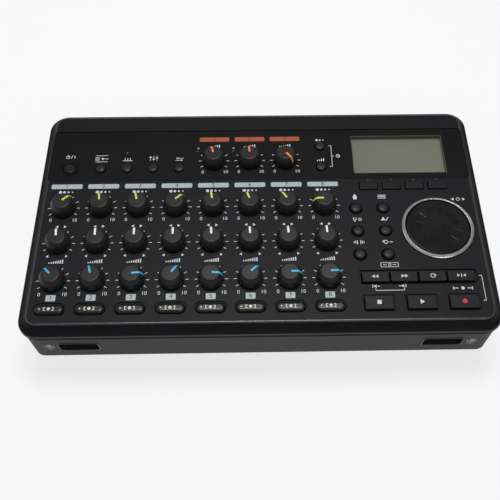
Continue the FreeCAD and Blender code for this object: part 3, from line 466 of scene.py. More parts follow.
def makeTopCase():
    s = topSizes
    case = plate("topCase", 0, 0, s["width"], s["depth"], s["low"], s["rim"], s["corner"], 10)
    startEdit(case)
    choose(case, "FACE", lambda face: face.normal.z > 0.9)
    for across, up in s["slopes"]:
        bpy.ops.mesh.inset(thickness=across * mm, depth=up * mm)
    endEdit()
    softenLevel(case, panelZ, s["edgeSoft"], 4)
    softenLevel(case, s["rim"] + s["slopes"][0][1], s["coveSoft"], 5)
    softenLevel(case, s["rim"], s["rimSoft"], 3)
    softenLevel(case, s["low"], s["lowSoft"], 2)
    hollow = block(0, 0, s["width"] - 2 * s["wall"], s["depth"] - 2 * s["wall"], s["low"] - 2,
                   s["hollowTop"], s["corner"] - s["wall"], 10)
    startEdit(hollow)
    choose(hollow, "FACE", lambda face: face.normal.z > 0.9)
    bpy.ops.mesh.inset(thickness=s["hollowSlope"] * mm, depth=s["hollowSlope"] * mm)
    endEdit()
    cutAway(case, hollow)
    # shallow wells first, then what goes right through
    wells = [block(0, s["stripMiddle"], s["stripWidth"], s["stripDepth"], panelZ - s["stripSink"],
                   clearZ, s["stripCorner"], 6)]
    wells += keyTools(transportPlaces, keySizes["transport"], 1.15, 1, 44.4)
    wells += keyTools([s["trayMiddle"]], s["traySize"], 1.35, 1.4, 44)
    wells += keyTools(pillPlaces, keySizes["pill"], 1.05, 3.8, 44.2)
    dish = [(s["buttonHole"], 44.3), (4.1, panelZ), (4.1, clearZ)]
    wells += [bore(x, y, dish, 40) for x, y in menuPlaces]
    cutAway(case, *wells)
    holes = [drill(x, rowY[row], s["shaftHole"], 40, clearZ) for x in columnX
             for row in ("reverb", "pan", "level")]
    holes += [drill(x, y, s["buttonHole"], 40, clearZ, 40) for x, y in menuPlaces]
    gap = s["keyGap"]
    holes += keyTools(fkeyPlaces, keySizes["function"], gap, 0.5)
    holes += keyTools(transportPlaces, keySizes["transport"], gap, 0.6)
    holes += keyTools([s["trayMiddle"]], s["traySize"], gap, 0.6)
    holes += keyTools(pillPlaces, keySizes["pill"], gap, 3.1)
    holes.append(drill(*wheelPlace, s["wheelHole"], 36, clearZ, 64))
    # the display's opening, and two that the strip covers
    holes += keyTools([displayPlace], displaySize, 0, 1)
    holes += keyTools([(-79.45, 30.7)], (70, 9), 0, 0.5)
    holes += keyTools([(15.6, 37)], (52, 30), 0, 0.5)
    cutAway(case, *holes)
    softenEdges(case, s["holeSoft"], 2)
    for finish in ("panelBlack", "slopeBlack", "edgeHighlightBlack"):
        case.data.materials.append(finishes[finish])
    # the matt slope and skirt, then the two polished edges that run round them, coloured lighter than the
    # panel as a painted highlight
    paintFaces(case, 1, lambda face: middle(face).z < panelZ - 0.1 and atRim(face))
    paintFaces(case, 2, lambda face: atRim(face) and (
        0.005 < panelZ - middle(face).z < 0.5
        or (abs(middle(face).z - s["rim"]) < 0.5 and 0.1 < face.normal.z < 0.86)))
    standIn("top_case", [case], "panel_black", None, "casing")


makeTopCase()
print("upper case made")


# Inlay strip with the collar round its power button

stripSizes = {"width": 246.7, "depth": 36.8, "middle": 40.25, "corner": 2.7, "low": 44, "soft": 0.18,
              "powerHole": 3.8,
              "collar": [(3.7, 44), (4.8, 44), (4.8, 45.2), (4.45, 45.65), (3.95, 45.7), (3.7, 45.4)]}


def makeStrip():
    s = stripSizes
    strip = plate("upperStrip", 0, s["middle"], s["width"], s["depth"], s["low"], stripZ, s["corner"], 8)
    low = s["low"] - 1
    holes = [drill(x, rowY["input"], topSizes["shaftHole"], low, clearZ) for x in columnX[4:7]]
    holes += [drill(x, y, topSizes["buttonHole"], low, clearZ, 40) for x, y in stripPlaces]
    holes.append(drill(*powerPlace, s["powerHole"], low, clearZ, 40))
    holes += keyTools([displayPlace], displaySize, 0, 0.9, low)
    cutAway(strip, *holes)
    softenEdges(strip, s["soft"], 2)
    collar = latheRing("collar", *powerPlace, s["collar"], 48)
    strip = joined("upperStrip", [strip, collar])
    dress(strip, "casing", "strip_black", "stripBlack", "upper_panel")


def makeDisplayRim():
    # rim round the screen, between the window and the strip, coloured a darker copy of the screen's
    # grey-green as painted shade along the window's edge
    x, y = displayPlace
    width, depth = displaySize
    rim = plate("shadedDisplayRim", x, y, width - 0.1, depth - 0.1, 42.42, 44.5, 0.9, 4)
    cutAway(rim, block(x, y, width - 0.8, depth - 0.8, 42, 45, 0.7, 4))
    softenEdges(rim, 0.08, 2)
    dress(rim, "casing", "display_grey", "shadedDisplayRim")


makeStrip()
makeDisplayRim()
print("strip made")


# Lower case: the front leans in downwards, the sides and the rear stand nearly upright

lowSizes = {"halfWidth": 127.5, "front": -74, "rear": 73.5, "top": 37.2, "bottom": 1.5, "corner": 10,
            "frontLean": 5.1, "sideLean": 0.6, "footCorner": 5, "rearCorner": 9, "soleSoft": 3.5,
            "topSoft": 0.4, "wall": 2.5, "edgeSoft": 0.25, "micWidth": 21.3, "micHeight": 11.5,
            "micCorner": 2.3, "micZ": 21.3, "micX": 99, "rimReach": 0.6, "rimProud": 0.4,
            "bayDoor": (62.6, 63.1, -29.75), "doorway": (127.3, 32, 40.6), "doorwayLow": 8.3,
            "doorwayTop": 19.95, "postHole": 2.75, "postRadius": 4.1,
            "seam": (0, -0.05, 253.6, 145.7), "seamZ": 34.2, "seamCorner": 9, "hollowLift": 3.2,
            "bayPlace": (0, -32), "bay": (60, 56), "bayFloor": 3, "bayRoof": 19, "bayWall": 1.5}
# places along X, height and radius of the holes in the rear wall
rearHoles = {"xlr": ((-72, -36), 19.3, 11), "jack": ((-101, -7), 19.3, 5.6),
             "mini": ((24, 44, 64), 13, 3.8), "power": ((88,), 13, 4.3)}
screwPlaces = [(-117.5, -32.3), (117.5, -32.3), (-117.5, 62), (117.5, 62), (-58.6, -53.6), (46.85, -53.6)]


def wallOutline(z, halfWidth, front, corner):
    # a flat outline of the lower case at one height, with its own radius at the two front corners
    s = lowSizes
    piece = flatPiece("wall", 0, (s["rear"] + front) / 2, z, 2 * halfWidth, s["rear"] - front, "VERT")
    choose(piece, "VERT", lambda vert: vert.co.y > 0)
    bpy.ops.mesh.bevel(offset=s["rearCorner"] * mm, segments=10, affect="VERTICES")
    choose(piece, "VERT", lambda vert: vert.co.y < 0)
    bpy.ops.mesh.bevel(offset=corner * mm, segments=10, affect="VERTICES")
    endEdit()
    return piece


def makeLowerCase():
    s = lowSizes
    foot = wallOutline(s["bottom"], s["halfWidth"] - s["sideLean"], s["front"] + s["frontLean"],
                       s["footCorner"])
    case = joined("lowerCase", [wallOutline(s["top"], s["halfWidth"], s["front"], s["corner"]), foot])
    startEdit(case)
    selectAll()
    bpy.ops.mesh.delete(type="ONLY_FACE")
    bpy.ops.mesh.select_mode(type="EDGE")
    selectAll()
    bpy.ops.mesh.bridge_edge_loops()
    for z in (s["bottom"], s["top"]):
        choose(case, "EDGE", lambda edge: level(edge, z))
        bpy.ops.mesh.edge_face_add()
    endEdit()
    outwards(case)
    softenLevel(case, s["bottom"], s["soleSoft"], 4)
    softenLevel(case, s["top"], s["topSoft"], 2)
    return case, copied(case, "tool")


def onFrontWall(piece, x, z):
    # stands a piece that was made flat against the leaning front wall, its top outwards
    s = lowSizes
    slope = s["frontLean"] / (s["top"] - s["bottom"])
    y = s["front"] + (s["top"] - z) * slope
    return moved(piece, x, y, z, tilt=90 + math.degrees(math.atan(slope)))


def makeMicRim(side):
    s = lowSizes
    reach = s["rimReach"]
    rim = plate("micRim", 0, 0, s["micWidth"] + 2 * reach, s["micHeight"] + 2 * reach, -0.6,
                s["rimProud"], s["micCorner"] + reach, 6)
    cutAway(rim, block(0, 0, s["micWidth"], s["micHeight"], -2, 2, s["micCorner"], 6))
    softenEdges(rim, 0.28, 3)
    return onFrontWall(rim, side * s["micX"], s["micZ"])


def cutLowerCase(case, hollow):
    s = lowSizes
    # the hollow is the same block, smaller by the wall and open at the top
    hollow.scale = (1 - s["wall"] / s["halfWidth"], 1 + s["wall"] / s["front"], 1)
    cutAway(case, moved(hollow, 0, 0, s["hollowLift"]))
    # the band under the rim is set back from the wall, and painted black as painted shade of the shadowed
    # parting line
    seam = block(0, 0, 264, 160, s["seamZ"], 40, 1)
    cutAway(seam, block(*s["seam"], 30, 42, s["seamCorner"], 10))
    cutAway(case, seam)
    inside = [drill(x, y, s["postRadius"], s["bayFloor"], 14) for x, y in screwPlaces]
    wall = s["bayWall"]
    width, depth = (length + 2 * wall for length in s["bay"])
    inside.append(block(*s["bayPlace"], width, depth, s["bayFloor"], s["bayRoof"] + wall, 0))
    cutAway(case, *inside, operation="UNION")
    tools = []
    for side in (-1, 1):
        slot = block(0, 0, s["micWidth"], s["micHeight"], -8, 8, s["micCorner"], 6)
        tools.append(onFrontWall(slot, side * s["micX"], s["micZ"]))
    for places, z, radius in rearHoles.values():
        tools += [turnedBack(drill(x, 0, radius, 0, 12, 40), 66, z) for x in places]
    width, depth, y = s["bayDoor"]
    tools.append(block(0, y, width, depth, 0, 3.5, 0.6, 2))
    tools.append(block(*s["bayPlace"], *s["bay"], s["bayFloor"], s["bayRoof"], 0))
    x, y, length = s["doorway"]
    tools.append(block(x, y, 9, length, s["doorwayLow"], s["doorwayTop"], 0.8, 3))
    tools += [drill(x, y, s["postHole"], 0, 7.8) for x, y in screwPlaces]
    cutAway(case, *tools)
    softenEdges(case, s["edgeSoft"], 2)
    case.data.materials.append(finishes["lowerCase"])
    case.data.materials.append(finishes["slopeBlack"])
    # painted shade: the case's top band above the seam takes the black finish
    paintFaces(case, 1, lambda face: middle(face).z > s["seamZ"] - 0.05)
    dress(case, "casing", "case_brown_grey", None, "bottom_case")
    for side, name in ((-1, "micRimLeft"), (1, "micRimRight")):
        rim = makeMicRim(side)
        rim.name = rim.data.name = name
        # the rims' lighter colour is a painted highlight
        dress(rim, "casing", "case_brown_grey", "slotRimHighlight")


cutLowerCase(*makeLowerCase())
print("lower case made")


# Doors, feet and screws

doorSizes = {"card": (126.12, 32, 1.75, 39.9), "cardLow": 8.65, "cardTop": 19.55, "pin": (0.6, 21.1),
             "pinPlace": (126.034, 9.5),
             "bay": (62, 58, -32), "bayLow": 1.5, "bayTop": 3.15, "gripStart": -9, "gripPitch": 2.4,
             "foot": [(5.2, 0), (5.7, 0.18), (6, 0.7), (6, 1.6)],
             "head": [(2.6, 7.5), (2.6, 6), (2.3, 5.65), (1.5, 5.5)]}
footPlaces = [(-103, -52), (103, -52), (-103, 57), (103, 57)]


def makeCardDoor():
    s = doorSizes
    x, y, thick, length = s["card"]
    door = plate("cardDoor", x, y, thick, length, s["cardLow"], s["cardTop"], 0)
    # a nail notch in the upper edge and two shallow lines across the face
    cuts = [block(x + 1, y, 1.6, 12, s["cardTop"] - 1.3, s["cardTop"] + 1, 0)]
    cuts += [block(x + 1, y, 0.7, length - 6, z, z + 0.5, 0) for z in (11.4, 12.8)]
    cutAway(door, *cuts)
    softenEdges(door, 0.25, 3)
    radius, reach = s["pin"]
    pinX, pinZ = s["pinPlace"]
    pin = turnedBack(lathe("pin", 0, 0, [(radius, -reach), (radius, reach)], 16), y, pinZ)
    moved(pin, pinX, 0)
    standIn("card_door", [door, pin], "case_brown_grey", "lowerCase")


def makeBatteryDoor():
    s = doorSizes
    width, depth, y = s["bay"]
    door = plate("batteryDoor", 0, y, width, depth, s["bayLow"], s["bayTop"], 1, 3)
    cuts = [block(0, s["gripStart"] - s["gripPitch"] * index + 0.5, 18, 1, 0.5, s["bayLow"] + 0.6, 0.4, 2)
            for index in range(4)]
    arrow = bore(0, -22, [(3.4, 0.5), (3.4, s["bayLow"] + 0.35)], 3)
    cutAway(door, *cuts, arrow)
    softenEdges(door, 0.2, 2)
    standIn("battery_door", [door], "case_brown_grey", "lowerCase")


def makeFeetAndScrews():
    s = doorSizes
    feet = [lathe("foot", x, y, s["foot"], 40) for x, y in footPlaces]
    standIn("rubber_feet", feet, "foot_rubber", "rubberBlack", "casing")
    head = lathe("head", 0, 0, s["head"], 32)
    cutAway(head, block(0, 0, 2.9, 0.75, 5, 6.4, 0))
    cutAway(head, block(0, 0, 0.75, 2.9, 5, 6.4, 0))
    softenEdges(head, 0.06, 1)
    shank = lathe("shank", 0, 0, [(1.4, 7.3), (1.4, 20)], 16)
    screw = joined("screw", [head, shank])
    screws = [copied(screw, "screw", x, y, 17 * index) for index, (x, y) in enumerate(screwPlaces)]
    dropped(screw)
    standIn("case_screws", screws, "metal_parts", "plainMetal", "casing")


makeCardDoor()
makeBatteryDoor()
makeFeetAndScrews()
print("doors, feet and screws made")


# Sockets in the rear wall, each made facing up and then turned to face the rear

socketSizes = {"wall": 73.5, "flange": 26, "flangeTop": 0.88, "screwReach": 10.2, "barrel": 10.9,
               "opening": 9.7,
               "core": [(7.9, -12), (7.9, -0.6), (7.5, -0.15)], "pins": ((-4.6, 0), (0, -4.6), (4.6, 0)),
               "sleeve": [(9.66, -11.8), (9.66, 0.75), (9.4, 0.86), (9.1, 0.75), (9.1, -11.8)]}


def makeXlrSockets():
    s = socketSizes
    reach = s["screwReach"]
    places, z, _ = rearHoles["xlr"]
    blacks, metals = [], []
    for x in places:
        flange = plate("flange", x, 0, s["flange"], s["flange"], 0, s["flangeTop"], 2.6, 6)
        cutAway(flange, drill(x, 0, s["barrel"], -13.5, 0.3, 48), operation="UNION")
        tools = [bore(x + shift, shift, [(1.5, -1), (1.5, 0.3), (2.1, 1)], 24) for shift in (-reach, reach)]
        cutAway(flange, drill(x, 0, s["opening"], -12.2, 3, 48), *tools)
        core = lathe("core", x, 0, s["core"], 48)
        holes = [bore(x + pinX, pinY, [(1.3, -9), (1.3, -0.6), (1.7, 0.2)], 20) for pinX, pinY in s["pins"]]
        holes.append(block(x, 7.7, 2.6, 2.2, -9, 1, 0.4, 2))
        cutAway(core, *holes)
        # push tab of the latch above the opening
        tab = plate("tab", x, -11.4, 7, 2.2, 0.3, 1.35, 0.7, 3)
        black = joined("black", [flange, core, tab])
        softenEdges(black, 0.15, 2)
        blacks.append(black)
        metals.append(latheRing("sleeve", x, 0, s["sleeve"], 48))
        for shift in (-reach, reach):
            place = (x + shift, shift)
            screw = lathe("screw", *place, [(1.9, 0.1), (1.9, 0.8), (1.2, 1.1)], 24)
            cutAway(screw, block(*place, 2.2, 0.5, 0.7, 2, 0))
            metals.append(screw)
    body = turnedBack(joined("body", blacks), s["wall"], z)
    standIn("xlr_sockets", [body], "socket_black", "socketBlack", "casing")
    trims = turnedBack(joined("xlrTrims", metals), s["wall"], z)
    dress(trims, "casing", "metal_parts", "plainMetal")


def makeJack(x, z, radius, nose, depth, sides=40):
    # a plastic nose with a bright ring round its opening
    wall = socketSizes["wall"]
    body = lathe("jack", x, 0, [(nose, -depth - 1.5), (nose, 0.3), (nose - 0.3, 0.58)], sides)
    cutAway(body, bore(x, 0, [(radius, -depth), (radius, 0.2), (radius + 0.25, 0.7)], sides))
    softenEdges(body, 0.08, 2)
    section = ((0.9, 0.4), (0.85, 0.62), (0.55, 0.68), (0.1, 0.5), (0.02, -3.5), (0.3, -3.5), (0.35, 0.4))
    ring = latheRing("ring", x, 0, [(radius + reach, low) for reach, low in section], sides)
    return turnedBack(body, wall, z), turnedBack(ring, wall, z)


def makeRearJacks():
    made = []
    for kind, radius, nose, depth in (("jack", 3.2, 5.4, 22), ("mini", 1.8, 3.6, 12),
                                      ("power", 3.1, 4.1, 10)):
        places, z, _ = rearHoles[kind]
        made += [makeJack(x, z, radius, nose, depth) for x in places]
    standIn("rear_jacks", [body for body, _ in made], "socket_black", "socketBlack", "casing")
    # the pin of the power inlet, which is the last of the row
    pin = lathe("pin", *places, 0, [(1, -9.5), (1, -1.1), (0.6, -0.6)], 20)
    rings = [ring for _, ring in made] + [turnedBack(pin, socketSizes["wall"], z)]
    dress(joined("jackRings", rings), "casing", "metal_parts", "plainMetal")


makeXlrSockets()
makeRearJacks()
print("rear sockets made")


# Knobs: one shape, turned to each pointer's place

knobSizes = {"rings": [(6.9, 0.5), (6.75, 4.7), (4.9, 7.9)], "footSoft": 0.25, "waistSoft": 1.2,
             "topSoft": 0.7, "sides": 56, "lineWidth": 1.15, "lineEnd": 0.62, "lineThick": 0.4,
             "lineStart": 0.6,
             "linePath": [(0.5, 7.78), (4.15, 7.78), (4.68, 7.6), (5.27, 7.05), (6.17, 5.47), (6.5, 4.66),
                          (6.66, 3.5)]}
# the finish of each row's pointers, and how far each one is turned at rest
pointers = {"reverb": ("pointerGreen", [47, -5, -14, 47, -8, -20, -32, -92]),
            "pan": ("pointerWhite", [-4, -2, 0, 0, -3, -2, -4, -2]),
            "level": ("pointerBlue", [-43, -15, 86, 37, 95, 46, 92, 88]),
            "input": ("pointerOrange", [-15, -3, 140])}


def makeKnob():
    s = knobSizes
    knob = lathe("knob", 0, 0, [(radius, panelZ + z) for radius, z in s["rings"]], s["sides"])
    for ring, soft, steps in ((2, "topSoft", 4), (1, "waistSoft", 4), (0, "footSoft", 2)):
        softenLevel(knob, panelZ + s["rings"][ring][1], s[soft], steps)
    knob.data.materials.append(finishes["knobBlack"])
    path = s["linePath"]
    y, z = path[0]
    line = flatPiece("line", 0, y + s["lineStart"] / 2, panelZ + z, s["lineWidth"], s["lineStart"], "EDGE")
    y += s["lineStart"]
    choose(line, "EDGE", lambda edge: all(abs(v.co.y - y * mm) < 0.01 * mm for v in edge.verts))
    for index, (nextY, nextZ) in enumerate(path[1:]):
        pull(0, nextY - y, nextZ - z)
        if index > 2:
            bpy.ops.transform.resize(value=(math.sqrt(s["lineEnd"]), 1, 1))
        y, z = nextY, nextZ
    endEdit()
    thick = line.modifiers.new("thick", "SOLIDIFY")
    thick.thickness = s["lineThick"] * mm
    thick.offset = 0
    applyAll(line)
    outwards(line)
    softenEdges(line, 0.1, 2)
    return knob, line


def makeKnobs():
    knob, line = makeKnob()
    centres = {joint["child"]: joint["pos_m"] for joint in frame["joints"] if "pos_m" in joint}
    for kind, (colour, angles) in pointers.items():
        nodes = ["%s_knob_%d" % (kind, column + 1) for column in range(len(columnX))]
        if kind == "input":
            nodes = ["input_a_knob", "input_b_knob", "master_knob"]
        for node, angle in zip(nodes, angles):
            x, y = centres[node][0] / mm, centres[node][1] / mm
            cap = copied(knob, "cap", x, y, angle)
            mark = copied(line, "mark", x, y, angle)
            mark.data.materials.append(finishes[colour])
            standIn(node, [cap, mark], "knob_rubber", None)
    dropped(knob, line)


makeKnobs()
print("knobs made")


# Finger wheel and its bright ring

wheelSizes = {"disc": [(17.9, 43.2), (17.9, 46.3), (17.3, 46.9), (16.4, 46.85), (6, 46.6), (2, 46.55)],
              "ring": [(20.2, 44.95), (20.2, 45.9), (20.08, 46.3), (19.78, 46.56), (18.95, 46.95),
                       (18.72, 47.06), (18.5, 47.04), (18.36, 46.85), (18.35, 46.5), (18.35, 43.6),
                       (19.2, 43.6), (19.2, 44.95)],
              "grooves": 12, "grooveFrom": 8.6, "grooveTo": 13.8, "grooveWidth": 0.9, "grooveFloor": 46.3}


def makeWheel():
    s = wheelSizes
    disc = lathe("dataWheel", 0, 0, s["disc"], 96)
    length = s["grooveTo"] - s["grooveFrom"]
    groove = block(0, (s["grooveFrom"] + s["grooveTo"]) / 2, s["grooveWidth"], length, s["grooveFloor"],
                   48, 0.44, 4)
    step = 360 / s["grooves"]
    tools = [copied(groove, "tool", turn=step * (index + 0.5)) for index in range(s["grooves"])]
    dropped(groove)
    cutAway(disc, *tools)
    softenEdges(disc, 0.12, 2, 25)
    standIn("data_wheel", [moved(disc, *wheelPlace)], "wheel_gloss", "wheelBlack")
    ring = latheRing("ring", *wheelPlace, s["ring"], 96)
    standIn("wheel_ring", [ring], "bright_trim", "brightTrim", "casing")


makeWheel()
print("wheel made")


# Buttons and keys

buttonSizes = {"dome": [(2.9, 41.6), (2.9, 45.25), (2.75, 45.6), (2.3, 45.9), (1.6, 46.08), (0.7, 46.16)],
               "power": [(3.4, 41.6), (3.4, 45.6), (3.15, 45.95), (2.5, 46.12), (1.6, 46.1), (0.7, 46.02)],
               "keySoft": 0.45, "keyCorner": 0.7, "legFloor": 41.6, "border": 0.12}


def makeKeyCap(place, kind, corner, soft, steps=3):
    s = buttonSizes
    top = panelZ + keyRise[kind]
    cap = plate("cap", *place, *keySizes[kind], s["legFloor"], top, corner, 8 if corner > 2 else 4)
    softenLevel(cap, top, soft, steps)
    # a narrow border keeps the shading of the flat top even
    startEdit(cap)
    choose(cap, "FACE", lambda face: face.normal.z > 0.999 and middle(face).z > top - 0.01)
    bpy.ops.mesh.inset(thickness=s["border"] * mm)
    endEdit()
    return cap


def makeButtons():
    s = buttonSizes
    for node, places in (("menu_buttons", menuPlaces), ("strip_buttons", stripPlaces)):
        caps = [lathe("cap", x, y, s["dome"], 40) for x, y in places]
        standIn(node, caps, "button_grey", "buttonBlack")
    standIn("power_button", [lathe("cap", *powerPlace, s["power"], 48)], "button_grey", "keyBlack")
    keys = [makeKeyCap(place, "function", 0.6, 0.35) for place in fkeyPlaces]
    standIn("function_keys", keys, "key_grey", "keyBlack")
    pills = [makeKeyCap(place, "pill", 2.8, 1.7, 7) for place in pillPlaces]
    standIn("rec_buttons", pills, "pill_smoke", "pillSmoke")
    for kind, words, places in (("tray", ("rewind", "forward", "repeat", "in_out"), trayPlaces),
                                ("transport", ("stop", "play", "record"), transportPlaces)):
        for word, place in zip(words, places):
            key = makeKeyCap(place, kind, s["keyCorner"], s["keySoft"])
            standIn(word + "_button", [key], "key_grey", "keyBlack")


makeButtons()
print("buttons made")


# Printed marks: dial ticks, plain numbers and simple signs, each a thin raised film

printSizes = {"film": 0.035, "tickRadius": 8.25, "tickLength": 1.6, "tickWidth": 0.36}


def film(x, y, z, width, depth, corner=0):
    return plate("film", x, y, width, depth, z - 0.02, z + printSizes["film"], corner, 3)


def strokes(z, *bars):
    # straight strokes, each a place and a size
    return [film(x, y, z, width, depth) for x, y, width, depth in bars]


def risingBars(x, y, z, count, width, rise, first):
    # bars 1.2 apart that stand on one line, each taller by twice the rise
    return strokes(z, *[(x + 1.2 * step, y + rise * step, width, first + 2 * rise * step)
                        for step in range(count)])


def filmDisc(x, y, z, radius, sides=24, turn=0):
    disc = lathe("film", 0, 0, [(radius, z - 0.02), (radius, z + printSizes["film"])], sides)
    return moved(disc, x, y, turn=turn)


def filmWords(text, x, y, z, height):
    words = added("film", bpy.ops.object.text_add, location=(x * mm, y * mm, z * mm))
    words.data.body = text
    words.data.align_x = "CENTER"
    words.data.align_y = "CENTER"
    words.data.size = height * 1.38 * mm
    words.data.extrude = printSizes["film"] * mm
    words.data.resolution_u = 3
    pick(words)
    bpy.ops.object.convert(target="MESH")
    words = bpy.context.object
    settle(words)
    outwards(words)
    return words


def makeTicks():
    s = printSizes
    tick = film(0, s["tickRadius"], panelZ, s["tickWidth"], s["tickLength"])
    ticks = [copied(tick, "film", turn=angle) for angle in range(-120, 121, 30)]
    dropped(tick)
    return joined("ticks", ticks)


def dialWords(x, y, z):
    return [filmWords(word, x + shift, y - 8.2, z, 2.2) for word, shift in (("0", -6.5), ("10", 6.9))]


def makePanelPrint():
    ticks = makeTicks()
    white, pale, dark = [], [], []
    for track, x in enumerate(columnX):
        for row in ("reverb", "pan", "level"):
            y = rowY[row]
            white.append(copied(ticks, "film", x, y))
            if row == "pan":
                for side in (-1, 1):
                    white.append(filmDisc(x + 5.1 * side, y - 8.2, panelZ, 0.95, 3, -90 * side))
                    white.append(filmDisc(x + 2.1 * side, y + 11, panelZ, 1.05, 3, -90 * side))
            else:
                white += dialWords(x, y, panelZ)
        y = rowY["reverb"] + 11.1
        white += [filmDisc(x - 3.3 + 2.3 * step, y, panelZ, 0.95 - 0.17 * step, 16) for step in range(4)]
        white += risingBars(x - 3.6, rowY["level"] + 11.1, panelZ, 7, 0.66, 0.14, 0.7)
        for y, size, height in ((17.95, (17.9, 3.2, 0.8), 2.6), (-54.5, (5.2, 3.6, 0.4), 2.7)):
            pale.append(film(x, y, panelZ, *size))
            dark.append(filmWords(str(track + 1), x, y, panelZ + 0.04, height))
    dropped(ticks)
    return white, pale, dark


def makeStripPrint():
    z = stripZ
    white, orange, dark = [], [], []
    ticks = makeTicks()
    for number, x in enumerate(columnX[4:7]):
        lifted = moved(copied(ticks, "film", x, rowY["input"]), 0, 0, z - panelZ)
        white += [lifted] + dialWords(x, rowY["input"], z)
        white += risingBars(x - 3, 46.1, z, 6, 0.66, 0.15, 0.7)
        orange.append(film(x, 52.05, z, 17.9, 3.3, 0.7))
        dark.append(filmWords(str(number + 1), x, 52.05, z + 0.04, 2.6))
        if number < 2:
            white.append(filmRing(x - 9.6, 45.4, z, 0.55, 0.2, 16))
    dropped(ticks)
    # power sign: a broken ring with a stroke, and a plain stroke beside it
    white += [filmRing(-113.6, 39.6, z, 1.15), film(-113.6, 40.6, z + 0.01, 0.4, 1.4),
              filmTurned(-111.3, 39.7, z, 0.34, 2.6, -20), film(-109.6, 39.7, z, 0.36, 2.3)]
    # many into one, plug with a dot, three faders, two arrows
    (ax, _), (bx, _), (cx, _), (dx, _) = stripPlaces[:4]
    y = 38.2
    white += strokes(z, *[(ax - 2.6, y + step, 2.6, 0.36) for step in (-0.9, 0, 0.9)],
                     (ax + 2.9, y, 2.2, 0.4), (ax, y + 2.4, 7.2, 0.36), (ax, y - 2.2, 7.2, 0.36),
                     (bx, y - 1.6, 5.6, 0.4), *[(bx + step, y - 0.5, 0.4, 1.8) for step in (-1.5, 0, 1.5)])
    for step, knob in zip((-1.9, 0, 1.9), (0.8, -0.6, 0.3)):
        white += [film(cx + step, y, z, 0.3, 3.4), film(cx + step, y + knob, z + 0.01, 1.2, 0.6)]
    white += strokes(z, (dx - 1, y - 1.6, 2.6, 0.36), (dx + 1, y - 0.1, 2.6, 0.36))
    white += [filmDisc(ax + 0.6, y, z, 1.15, 3, -90), filmDisc(dx + 1.2, y - 1.6, z, 0.85, 3, -90),
              filmDisc(dx - 1.2, y - 0.1, z, 0.85, 3, 90)]
    # two buttons held by a bracket: falling dots, rising bars, and a struck-out ring
    white += strokes(z, (42.55, 46.4, 1.38, 0.32), (42.55, 30.8, 1.38, 0.32), (43.4, 38.6, 0.32, 15.92),
                     (44.2, 38.6, 1.28, 0.32))
    white += risingBars(34.8, 35.3, z, 4, 0.6, 0.2, 0.8)
    white += [filmRing(47.2, 38.6, z, 1.25), filmTurned(47.2, 38.6, z + 0.01, 0.34, 2.6, 45)]
    white += [filmDisc(35 + 1.9 * step, 50.8, z, 0.75 - 0.18 * step, 16) for step in range(3)]
    return white, orange, dark


def filmTurned(x, y, z, width, depth, turn):
    return moved(film(0, 0, z, width, depth), x, y, turn=turn)


def filmRing(x, y, z, radius, width=0.35, sides=24):
    top = z + printSizes["film"]
    return latheRing("film", x, y, [(radius - width, z - 0.02), (radius, z - 0.02), (radius, top),
                                    (radius - width, top)], sides)


def makeMenuSigns(z):
    # plain signs above the six menu buttons: house, list, fork, pendulum, cut bars, turn back
    (ax, ay), (bx, by), (cx, cy), (dx, dy), (ex, ey), (fx, fy) = [(x, y + 7.9) for x, y in menuPlaces]
    signs = [filmDisc(ax, ay + 0.55, z, 1.65, 3), film(ax, ay - 0.975, z, 1.9, 1.4)]
    signs += strokes(z, *[(bx, by + step, 4.6, 0.45) for step in (-1, 0, 1)])
    signs += strokes(z, (cx - 1.9, cy + 0.45, 0.42, 1.5), (cx - 0.5, cy + 0.45, 0.42, 1.5),
                     (cx - 1.2, cy - 0.51, 1.82, 0.42), (cx - 1.2, cy - 1.22, 0.42, 1))
    signs += [filmRing(cx + 1.7, cy - 0.1, z, 1), filmDisc(dx - 0.6, dy - 0.25, z, 1.6, 3),
              filmTurned(dx + 1.6, dy, z, 0.4, 2.8, -30)]
    signs += strokes(z, *[(ex + side * (0.9 * step), ey, 0.44, height) for side in (-1, 1)
                          for step, height in ((3, 1), (2, 1.8), (1, 2.5))])
    signs += [filmRing(fx - 0.6, fy, z, 1.25, 0.42), filmDisc(fx - 1.8, fy + 0.4, z + 0.01, 0.9, 3, 200),
              film(fx + 2.4, fy, z, 1.8, 0.42)]
    # framed clock sign below the last button
    y = menuPlaces[5][1] - 6.7
    frame = film(fx, y, z, 9.8, 2.9)
    cutAway(frame, film(fx, y, z, 9.2, 2.3))
    signs += [frame, filmRing(fx, y, z, 0.85, 0.28)]
    return signs + strokes(z, (fx - 2.6, y, 1.9, 0.36), (fx + 2.6, y, 1.9, 0.36))


def makeKeyPrint():
    # brackets below the tray and beside the keys, to start, to last mark, marked span
    z = panelZ
    white = makeMenuSigns(z)
    white += strokes(z, (69.1, -52.4, 15.6, 0.32), (61.46, -51.65, 0.32, 1.18), (76.74, -51.65, 0.32, 1.18),
                     (118.75, -44.06, 1.38, 0.32), (119.6, -51.6, 0.32, 15.4), (118.75, -59.14, 1.38, 0.32),
                     (60, -49.8, 0.42, 1.9), (63.2, -49.8, 1.2, 0.42), (74.6, -49.8, 1.2, 0.42),
                     (77.8, -49.8, 0.42, 1.9), (103.2, -51.6, 0.42, 2), (113.4, -51.6, 0.42, 2),
                     (104.7, -51.6, 2.4, 0.42), (111.9, -51.6, 2.4, 0.42))
    white += [filmDisc(61.5, -49.8, z, 1.1, 3, 90), filmDisc(76.3, -49.8, z, 1.1, 3, 90),
              filmDisc(108.3, -51.6, z, 0.95, 16)]
    # the two ways the wheel turns
    return white + [filmDisc(111.3, 6.2, z, 1.15, 3, 90), filmDisc(117.3, 6.2, z, 1.15, 3, -90),
                    filmRing(114.3, 6.2, z, 1.15)]


